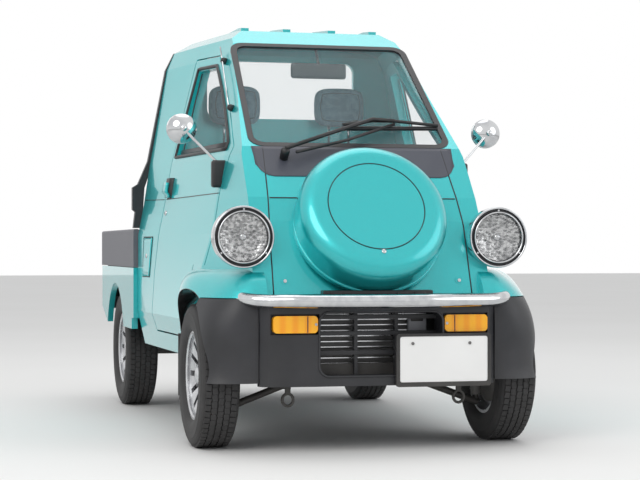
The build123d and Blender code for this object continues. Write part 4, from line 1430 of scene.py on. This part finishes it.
# ---------------------------------------------------------------------------------- body surface
class BodySurface:
    """Finds points on the outside of the frame's nodes, so that trim lies on what carries it."""

    def __init__(self, shop: Workshop, nodes: tuple[str, ...]) -> None:
        """Read the nodes once.

        Args:
            shop: The workshop.
            nodes: Names of the nodes that carry the trim.
        """
        self.shop = shop
        graph = bpy.context.evaluated_depsgraph_get()
        self.trees = [BVHTree.FromObject(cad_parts[name], graph) for name in nodes]

    def hit(self, origin: Point, direction: Point) -> Spot | None:
        """The first point and outward normal along a line.

        Args:
            origin: Start of the line.
            direction: Its direction.

        Returns:
            The point and normal, or None where the line meets nothing.
        """
        hits = [tree.ray_cast(Vector(origin), Vector(direction).normalized()) for tree in self.trees]
        met = [hit for hit in hits if hit[0] is not None]
        if not met:
            return None
        point, normal, *_ = min(met, key=lambda hit: hit[3])
        return point, -normal if normal.dot(Vector(direction)) > 0 else normal

    def beside(self, side: Side, y: float, z: float) -> Spot | None:
        """A point on the side of the body."""
        return self.hit((side.value * 1.2, y, z), (-side.value, 0, 0))

    def ahead(self, x: float, z: float) -> Spot | None:
        """A point on the front of the body."""
        return self.hit((x, -2.2, z), BEHIND)

    def patch(self, name: str, spots: list[list[Spot | None]], lift: float, depth: float,
              material: Material) -> Piece:
        """A closed skin over a grid of surface points.

        Args:
            name: The object's name.
            spots: Rows of points and normals.
            lift: How far the skin's outside stands off the surface.
            depth: The skin's thickness.
            material: Its finish.

        Returns:
            The skin.
        """
        rows = [[spot for spot in row if spot is not None] for row in spots]
        count = min(len(row) for row in rows)
        grid = [spot for row in rows for spot in row[:count]]
        top, low = ([point + normal * off for point, normal in grid] for off in (lift, lift - depth))
        total, last, faces = len(top), len(rows) - 1, []
        for r in range(last):
            for c in range(count - 1):
                a, b = r * count + c, r * count + c + 1
                faces.append((a, b, b + count, a + count))
                faces.append((total + a, total + a + count, total + b + count, total + b))
        edge = [(0, c) for c in range(count)] + [(r, count - 1) for r in range(1, last + 1)]
        edge += [(last, c) for c in range(count - 2, -1, -1)] + [(r, 0) for r in range(last - 1, 0, -1)]
        rim = [r * count + c for r, c in edge]
        for here, there in zip(rim, rim[1:] + rim[:1]):
            faces.append((here, total + here, total + there, there))
        return self.shop.mesh(name, top + low, faces, material)

    def side_patch(self, name: str, side: Side, low: Flat, high: Flat, material: Material, body: str,
                   lift: float = 0.0025, depth: float = 0.006, grid: tuple[int, int] = (9, 9)) -> None:
        """A skin over a rectangle on the side of the body.

        Args:
            name: The object's name.
            side: The side.
            low: The rectangle's lowest (y, z) corner.
            high: Its highest corner.
            material: Its finish.
            body: The body it rides on.
            lift: How far its outside stands off the surface.
            depth: Its thickness.
            grid: Points along and up it.
        """
        cols, rows = grid
        ys = [low[0] + (high[0] - low[0]) * c / (cols - 1) for c in range(cols)]
        zs = [low[1] + (high[1] - low[1]) * r / (rows - 1) for r in range(rows)]
        spots = [[self.beside(side, y, z) for y in ys] for z in zs]
        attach(self.patch(name, spots, lift, depth, material), body)

    def bead(self, name: str, spots: list[Spot | None], radius: float, body: str) -> None:
        """A thin dark bead through surface points.

        Args:
            name: The object's name.
            spots: Points and normals.
            radius: Its radius.
            body: The body it rides on.
        """
        path = [point + normal * radius * 0.15 for point, normal in filter(None, spots)]
        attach(self.shop.tube(name, path, radius, self.shop.finishes.seal, 8), body)

    def side_line(self, name: str, side: Side, path: list[Flat], radius: float, body: str,
                  steps: int) -> None:
        """A bead that follows the side of the body.

        Args:
            name: The object's name.
            side: The side.
            path: The (y, z) points it goes through.
            radius: Its radius.
            body: The body it rides on.
            steps: Points on each stretch.
        """
        spots = [self.beside(side, y0 + (y1 - y0) * k / steps, z0 + (z1 - z0) * k / steps)
                 for (y0, z0), (y1, z1) in zip(path, path[1:]) for k in range(steps)]
        self.bead(name, [*spots, self.beside(side, *path[-1])], radius, body)

    def front_line(self, name: str, path: list[Flat], radius: float, steps: int = 12) -> None:
        """A bead that follows the front of the body.

        Args:
            name: The object's name.
            path: The (x, z) points it goes through.
            radius: Its radius.
            steps: Points on each stretch.
        """
        spots = [self.ahead(x0 + (x1 - x0) * k / steps, z0 + (z1 - z0) * k / steps)
                 for (x0, z0), (x1, z1) in zip(path, path[1:]) for k in range(steps + 1)]
        self.bead(name, spots, radius, "truck")


# ---------------------------------------------------------------------------------- nose
@dataclass
class CoolerTubes:
    """The flat tubes of the cooler, repeated in front of its core."""

    shop: Workshop
    tubes: int = 11
    low: float = 0.292
    pitch: float = 0.0195
    half_width: float = 0.200
    front: float = -1.1835
    depth: float = 0.0045
    height: float = 0.0035

    def build(self) -> None:
        """Make the tubes as one mesh."""
        tree = NodeTree("cooler_tubes_tree", self.shop.finishes.silver, Tubes=self.tubes, Pitch=self.pitch)
        step = tree.add("ShaderNodeCombineXYZ", {"Z": tree.given["Pitch"]})
        line = tree.add("GeometryNodeMeshLine", {"Count": tree.given["Tubes"], "Offset": step.outputs[0],
                                                 "Start Location": (0, self.front, self.low)})
        tube = tree.add("GeometryNodeMeshCube", {"Size": (self.half_width * 2, self.depth, self.height)})
        row = tree.set_on(line.outputs["Mesh"], tube.outputs["Mesh"])
        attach(tree.run(self.shop, row, self.shop.dots("cooler_tubes")), "truck")


@dataclass
class NoseTrim:
    """Cowl skin, hood seams, fixings, plate border, tow hooks, and the grille's and spare cover's trim."""

    shop: Workshop
    surface: BodySurface
    cowl_low: float = 0.985
    cowl_high: float = 1.099
    cowl_half_low: float = 0.372
    cowl_half_high: float = 0.388
    corner: float = 0.055
    seam_radius: float = 0.0024
    lower_seam_radius: float = 0.0035
    rivet_x: float = 0.325
    rivet_z: float = 0.606
    rivet_axis: Point = (0, -0.97, 0.2)
    plate_face: float = -1.3235
    indicator_face: float = -1.3035
    tow_x: float = 0.318
    tow_eye: Flat = (0.020, 0.022)
    cover_face: Point = (0, -1.234, 0.874)
    cover_axis: Point = (0, -0.869, 0.494)
    cover_depth: float = 0.146
    cover_lock: float = 0.187

    def cowl(self) -> None:
        """The slate panel below the windscreen, with rounded lower corners."""
        rows, cols, spots = 14, 41, []
        for r in range(rows):
            rise = (self.cowl_high - self.cowl_low) * (r / (rows - 1)) ** 1.3
            half = self.cowl_half_low + (self.cowl_half_high - self.cowl_half_low) * r / (rows - 1)
            if rise < self.corner:
                half -= self.corner - math.sqrt(max(0.0, self.corner ** 2 - (self.corner - rise) ** 2))
            spots.append([self.surface.ahead(-half + 2 * half * c / (cols - 1), self.cowl_low + rise)
                          for c in range(cols)])
        skin = self.surface.patch("cowl_skin", spots, 0.0022, 0.006, self.shop.finishes.cowl)
        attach(skin, "truck")

    def seams(self) -> None:
        """The hood's side seams and the lines across it."""
        edge = [(0.345, 1.094), (0.352, 0.985), (0.366, 0.80), (0.369, 0.560)]
        for side in Side:
            path = [(side.value * x, z) for x, z in edge]
            self.surface.front_line(f"hood_seam_{side.word}", path, self.seam_radius)
            cross = [(x, 0.905) for x in side.span(0.245, 0.352)]
            self.surface.front_line(f"hood_cross_seam_{side.word}", cross, self.seam_radius)
        self.surface.front_line("hood_lower_seam", [(-0.372, 0.556), (0.372, 0.556)], self.lower_seam_radius)

    def fixings(self) -> None:
        """Rivets on the hood, the latch strip, the plate's border and bolts, the indicator screws."""
        shop, f, plate, lamp = self.shop, self.shop.finishes, self.plate_face, self.indicator_face
        rivets = [self.surface.ahead(x, self.rivet_z)[0] for x in (-self.rivet_x, self.rivet_x)]
        heads = [(x, y - 0.003, z) for x, y, z in rivets]
        bolts = [(x, plate, 0.386) for x in (0.107, 0.319)]
        screws = [(x, lamp, 0.456) for x in (-0.240, 0.240)]
        for name, points, axis, radius, height, material, sides in (
                ("hood_rivets", rivets, self.rivet_axis, 0.0150, 0.005, f.paint, 24),
                ("hood_rivet_heads", heads, self.rivet_axis, 0.0062, 0.006, f.silver, 12),
                ("plate_bolts", bolts, AHEAD, 0.0060, 0.004, f.cast, 6),
                ("indicator_screws", screws, AHEAD, 0.005, 0.004, f.chrome, 12)):
            Studs(shop, name, "truck", points, axis, radius, height, material, sides).build()
        blocks = [(f"latch_block_{n}", (x - 0.020, -1.2745, 0.552), (x + 0.020, -1.268, 0.568), f.seal, 0.002)
                  for n, x in enumerate((-0.16, 0.085, 0.150))]
        strip = ("latch_strip", (-0.205, -1.270, 0.546), (0.200, -1.224, 0.5735), f.black, 0.004)
        shop.slabs("truck", strip, *blocks)
        outer = rectangle((0.047, 0.233), (0.399, 0.4205))
        inner = rectangle((0.0600, 0.2495), (0.3860, 0.4105))
        ring = [(x, plate, z) for x, z in rounded_outline(outer, 0.010)]
        hole = [(x, plate, z) for x, z in rounded_outline(inner, 0.008)]
        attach(shop.border("plate_border", ring, hole, Vector((0, 0.013, 0)), f.black), "truck")

    def hooks(self) -> None:
        """The tow hooks below the bumper and the mud flaps in the front arches."""
        shop, f, (wide, tall) = self.shop, self.shop.finishes, self.tow_eye
        for side in Side:
            word, x = side.word, side.value * self.tow_x
            ring = [(x + wide * math.cos(turn), -1.2, 0.186 + tall * math.sin(turn))
                    for turn in ring_angles(16)]
            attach(shop.tube(f"tow_eye_{word}", ring, 0.0055, f.chassis, 8, closed=True), "truck")
            foot, flap = side.span(0.245, 0.330), side.span(0.50, 0.618)
            for name, low, high, material, edge in (
                    ("tow_shank", (x - 0.010, -1.206, 0.204), (x + 0.010, -1.194, 0.262), f.chassis, 0.003),
                    ("tow_foot", (foot[0], -1.212, 0.250), (foot[1], -1.188, 0.268), f.chassis, 0.003),
                    ("mud_flap", (flap[0], -0.6655, 0.165), (flap[1], -0.6595, 0.40), f.seal, 0.002)):
                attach(shop.slab(f"{name}_{word}", low, high, material, edge), "truck")

    def grille(self) -> None:
        """The moulded edge of the bumper's opening, the cooler's tubes behind it and the washer bottle."""
        shop, f = self.shop, self.shop.finishes
        opening = rectangle((-0.227, 0.272), (0.227, 0.499))
        edge = [(x, -1.2990, z) for x, z in rounded_outline(opening, 0.037)]
        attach(shop.tube("grille_edge", edge, 0.0045, f.cladding, 10, closed=True), "truck")
        CoolerTubes(shop).build()
        rows = [("washer_bottle", (0.128, -1.1985, 0.412), (0.198, -1.1790, 0.470), f.bottle, 0.005),
                ("washer_bottle_cap", (0.136, -1.1990, 0.458), (0.186, -1.1800, 0.474), f.black, 0.003)]
        for side in Side:
            near, far = side.span(0.268, 0.2715)
            name = f"indicator_divide_{side.word}"
            rows.append((name, (near, -1.3034, 0.427), (far, -1.2990, 0.485), f.black, 0.001))
        shop.slabs("truck", *rows)

    def cover(self) -> None:
        """The spare cover's outer lip, a black ring of painted shade in its round groove, and its lock."""
        f, centre = self.shop.finishes, Vector(self.cover_face)
        facing = Vector(self.cover_axis).normalized()
        down = Vector((0, self.cover_axis[2], -self.cover_axis[1])).normalized() * -self.cover_lock
        lip = [(-0.006, 0.2755), (0.000, 0.2785), (0.007, 0.2790), (0.012, 0.2760), (0.010, 0.2725),
               (0.0, 0.2720)]
        # The groove is a thin black ring: painted shade in it.
        groove = [(0.0, 0.1785), (0.0016, 0.1780), (0.0016, 0.1760), (0.0, 0.1755)]
        lock = [(-0.004, 0.0085), (0.0025, 0.0085), (0.0035, 0.0070), (0.0035, 0.0)]
        root = centre - facing * self.cover_depth
        self.shop.lathes("truck", facing, ("cover_lip", lip, root, f.paint, 120),
                         ("cover_groove", groove, centre, f.seal, 120),
                         ("cover_lock", lock, centre + down, f.chrome, 20))

    def build(self) -> None:
        """Make the nose's trim."""
        self.cowl()
        self.seams()
        self.fixings()
        self.hooks()
        self.grille()
        self.cover()
        log.info("nose trim")


# ---------------------------------------------------------------------------------- sides
@dataclass
class SideTrim:
    """Door handle, lock, window seals, painted shade on the belt crease and in the handle's recess, mirror
    parts, and the right side's flap and aerial.
    """

    shop: Workshop
    surface: BodySurface
    side: Side
    mirror: Point = (0.608, -0.685, 1.175)
    aerial_mounts: tuple[Flat, Flat] = ((-0.642, 1.259), (-0.386, 1.466))
    aerial_stand: float = 0.016
    aerial_tip: float = 0.095

    @property
    def door(self) -> str:
        """The body of this side's door."""
        return f"door_{self.side.word}"

    def turned_on(self, name: str, y: float, z: float, profile: list[Flat], material: Material,
                  body: str) -> Spot:
        """A small turned form that stands on the side of the body.

        Args:
            name: The object's name.
            y: Its place along the body.
            z: Its height.
            profile: Points as (distance off the surface, radius).
            material: Its finish.
            body: The body it rides on.

        Returns:
            The surface's point and normal.
        """
        point, normal = self.surface.beside(self.side, y, z)
        self.shop.lathes(body, normal, (name, profile, point, material, 20))
        return point, normal

    def handle(self) -> None:
        """The upright handle at the door's rear edge, with painted shade where its recess lies, and the lock
        below.
        """
        f, word, patch = self.shop.finishes, self.side.word, self.surface.side_patch
        # A black patch on the door behind the handle is painted shade for the recess.
        patch(f"handle_recess_{word}", self.side, (-0.088, 0.925), (-0.028, 1.012), f.seal, self.door,
              0.0015, 0.004, (7, 7))
        patch(f"handle_flap_{word}", self.side, (-0.078, 0.930), (-0.030, 0.992), f.paint, self.door,
              0.014, 0.013, (7, 7))
        lock = [(-0.004, 0.0105), (0.003, 0.0105), (0.004, 0.0085), (0.004, 0.0)]
        self.turned_on(f"door_lock_{word}", -0.045, 0.868, lock, f.chrome, self.door)

    def window(self) -> None:
        """The seal around the door glass: thin in front, wide behind, with a dark strip along the foot."""
        word, seal = self.side.word, self.shop.finishes.seal
        outline = [(-0.744, 1.098), (-0.744, 1.122), (-0.303, 1.457), (-0.094, 1.462), (-0.058, 1.098)]
        outline.append(outline[0])
        self.surface.side_line(f"window_seal_{word}", self.side, outline, 0.0075, self.door, 12)
        glass = BodySurface(self.shop, (f"door_glass_{word}",))
        for name, low, high in ((f"window_rear_band_{word}", (-0.112, 1.108), (-0.075, 1.440)),
                                (f"window_foot_band_{word}", (-0.700, 1.108), (-0.080, 1.126))):
            glass.side_patch(name, self.side, low, high, seal, self.door, 0.004, 0.003, (5, 9))

    def lines(self) -> None:
        """Dark lines of painted shade along the belt crease, on the door and on the panel behind it."""
        word, line = self.side.word, self.surface.side_line
        # Painted shade: dark beads along the belt crease, which is a pressing in the panels.
        line(f"belt_bead_{word}", self.side, [(-0.760, 0.930), (-0.020, 0.925)], 0.0018, self.door, 24)
        line(f"pillar_seam_{word}", self.side, [(0.290, 0.930), (0.015, 0.925)], 0.0016, "truck", 12)

    def mirror_parts(self) -> None:
        """The mirror's glass, rim and boss, and the bracket's cover."""
        f, word, (x, y, z) = self.shop.finishes, self.side.word, self.mirror
        x *= self.side.value
        glass = [(0.0, 0.050), (0.0015, 0.050), (0.0022, 0.0)]
        rim = [(-0.003, 0.0565), (0.003, 0.0578), (0.006, 0.0565), (0.006, 0.0530), (0.0, 0.0530)]
        boss = [(-0.004, 0.012), (0.004, 0.012), (0.008, 0.009), (0.009, 0.0)]
        self.shop.lathes(self.door, BEHIND, (f"mirror_glass_{word}", glass, (x, y + 0.0125, z), f.mirror, 48),
                         (f"mirror_rim_{word}", rim, (x, y + 0.008, z), f.chrome, 64))
        self.shop.lathes(self.door, AHEAD, (f"mirror_boss_{word}", boss, (x, y - 0.040, z), f.chrome, 24))
        near, far = self.side.span(0.435, 0.5065)
        bracket = (f"mirror_bracket_{word}", (near, -0.7685, 0.951), (far, -0.7300, 1.054), f.black, 0.010)
        self.shop.slabs(self.door, bracket)

    def fuel_flap(self) -> None:
        """The fuel flap behind the door, with its lock."""
        f, patch = self.shop.finishes, self.surface.side_patch
        patch("fuel_flap_shadow", self.side, (0.084, 0.600), (0.216, 0.772), f.seal, "truck", 0.0014, 0.004)
        patch("fuel_flap_face", self.side, (0.088, 0.605), (0.212, 0.767), f.paint, "truck", 0.0034, 0.003)
        lock = [(0.0, 0.010), (0.005, 0.010), (0.006, 0.008), (0.006, 0.0)]
        self.turned_on("fuel_flap_lock", 0.150, 0.690, lock, f.chrome, "truck")

    def aerial(self) -> None:
        """The aerial on the windscreen pillar: two mounts and a mast."""
        f, foot = self.shop.finishes, [(-0.004, 0.014), (0.012, 0.013), (0.020, 0.009), (0.022, 0.0)]
        mounts = [self.turned_on(f"aerial_mount_{number}", y, z, foot, f.black, "truck")
                  for number, (y, z) in enumerate(self.aerial_mounts, 1)]
        start, end = (point + normal * self.aerial_stand for point, normal in mounts)
        tip = end + (end - start).normalized() * self.aerial_tip
        path = [start, start.lerp(end, 0.5), end, tip]
        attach(self.shop.tube("aerial_mast", path, 0.0032, f.chrome, 10), "truck")

    def build(self) -> None:
        """Make one side's trim."""
        self.handle()
        self.window()
        self.lines()
        self.mirror_parts()
        if self.side is Side.RIGHT:
            self.fuel_flap()
            self.aerial()
        log.info("%s side trim", self.side.word)


# ---------------------------------------------------------------------------------- stage
@dataclass(frozen=True)
class Lamp:
    """A soft round studio lamp."""

    name: str
    place: Point
    aim: Point
    size: float
    power: float
    tint: Colour

    def build(self) -> None:
        """Hang the lamp."""
        light = bpy.data.lights.new(self.name, "AREA")
        light.shape, light.size, light.energy, light.color = "DISK", self.size, self.power, self.tint
        obj = placed(self.name, light)
        obj.location = self.place
        obj.rotation_euler = (Vector(self.aim) - Vector(self.place)).to_track_quat("-Z", "Y").to_euler()


@dataclass
class Stage:
    """The pale floor, the soft lights, the white surround and the camera."""

    place: Point = (-1.7413, -7.2441, 0.7221)
    turn: tuple[float, float, float] = (90.272, 0.0, -14.307)
    lens: float = 98.70
    floor_half: float = 40.0
    soft_strength: float = 0.84
    lamps: tuple[Lamp, ...] = (
        Lamp("key", (-4.6, -5.4, 5.2), (0, 0, 0.7), 5.0, 210, (1.0, 0.99, 0.97)),
        Lamp("fill", (6.0, -4.6, 3.2), (0, -0.2, 0.8), 5.5, 90, (0.96, 0.98, 1.0)),
        Lamp("top", (0.4, 1.2, 7.0), (0, 0, 0.8), 6.0, 90, (1, 1, 1)))

    def floor(self) -> None:
        """A plain pale floor."""
        surface = Surface("stage_floor")
        tone = surface.ramp(surface.noise(0.6), (0.80, 0.80, 0.79), (0.84, 0.84, 0.835))
        corners = rectangle((-self.floor_half, -self.floor_half), (self.floor_half, self.floor_half))
        data = bpy.data.meshes.new("stage_floor")
        data.from_pydata([(x, y, 0) for x, y in corners], [], [(0, 1, 2, 3)])
        data.materials.append(surface.finish(Base_Color=tone, Roughness=0.85))
        placed("stage_floor", data)

    def surround(self) -> None:
        """A white surround to the eye, in reflections and through glass, and a softer one for light."""
        world = bpy.data.worlds.new("surround")
        bpy.context.scene.world = world
        world.use_nodes = True
        nodes = Nodes(world.node_tree)
        nodes.tree.nodes.clear()
        ray = nodes.add("ShaderNodeLightPath").outputs
        seen = nodes.maths("MAXIMUM", ray["Is Camera Ray"], ray["Is Transmission Ray"])
        shown = nodes.maths("MAXIMUM", seen, ray["Is Glossy Ray"])
        place = nodes.add("ShaderNodeTexCoord").outputs["Generated"]
        height = nodes.add("ShaderNodeSeparateXYZ", {0: place}).outputs["Z"]
        sky = nodes.ramp(height, (0.50, 0.51, 0.53), (1.0, 1.0, 1.0), 0.44, 0.64)
        soft = nodes.add("ShaderNodeBackground", {"Color": sky, "Strength": self.soft_strength})
        white = nodes.add("ShaderNodeBackground", {"Color": (1, 1, 1, 1), "Strength": 1.0})
        blend = nodes.add("ShaderNodeMixShader", {0: shown, 1: soft.outputs[0], 2: white.outputs[0]})
        nodes.add("ShaderNodeOutputWorld", {"Surface": blend.outputs[0]})

    def camera(self) -> None:
        """The camera."""
        data = bpy.data.cameras.new("camera")
        data.sensor_width, data.lens, data.clip_end = 36.0, self.lens, 200.0
        obj = placed("camera", data)
        obj.location = self.place
        obj.rotation_euler = tuple(math.radians(value) for value in self.turn)
        bpy.context.scene.camera = obj

    def build(self) -> None:
        """Set the stage."""
        self.floor()
        for lamp in self.lamps:
            lamp.build()
        self.surround()
        self.camera()
        bpy.context.scene.view_settings.view_transform = "Standard"
        log.info("stage set")


# ---------------------------------------------------------------------------------- CAD nodes
@dataclass
class FrameDresser:
    """Puts the finishes on the nodes of the frame."""

    finishes: Finishes

    def table(self) -> dict[str, Material]:
        """The finish of each record slot, by the slot's name."""
        f = self.finishes
        return {"paint": f.paint, "dark_plastic": f.cladding, "cowl_grey": f.cowl, "bed_grey": f.bed,
                "black_metal": f.chassis, "chrome": f.chrome, "glass": f.glass, "amber": f.amber,
                "red_lens": f.red, "white_plate": f.plate, "rubber_tyre": f.rubber, "wheel_silver": f.silver,
                "cast": f.cast, "seat_cloth": f.cloth, "dash_plastic": f.dash, "core": f.core}

    def build(self) -> None:
        """Assign the finishes."""
        table = self.table()
        own = {"front_fenders": self.finishes.fender_paint, "cab_shell": self.finishes.cab_paint}
        for name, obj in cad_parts.items():
            for slot in obj.material_slots:
                plain = slot.material.name.split(".")[0] if slot.material else ""
                match = next((key for key in table if key == plain or plain.endswith(key)), None)
                if match is None:
                    log.warning("node %s has an unknown slot %s", name, plain)
                    continue
                slot.material = own.get(name, table[match])
        log.info("frame dressed")


BODY_NODES = ("cab_shell", "nose_panel", "cowl_panel", "front_fenders", "door_left", "door_right",
              "bed_sides")
AXLES = (("front", -0.945), ("rear", 0.895))
SEATS = (("driver", ((-0.338, 0.162, 1.257), (-0.112, 0.238, 1.423))),
         ("passenger", ((0.132, 0.182, 1.257), (0.358, 0.238, 1.423))))


def main() -> None:
    """Build every class in order."""
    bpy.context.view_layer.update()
    finishes = Finishes.build()
    shop = Workshop(finishes)
    Stage().build()
    FrameDresser(finishes).build()
    for side in Side:
        for end, axle in AXLES:
            WheelTread(shop, side, end, axle).build()
    for side in Side:
        HeadLamp(shop, side).build()
    ScreenTrim(shop).build()
    surface = BodySurface(shop, BODY_NODES)
    NoseTrim(shop, surface).build()
    for side in Side:
        SideTrim(shop, surface, side).build()
    for person, headrest in SEATS:
        Seat(shop, person, headrest).build()


if __name__ == "__main__":
    main()
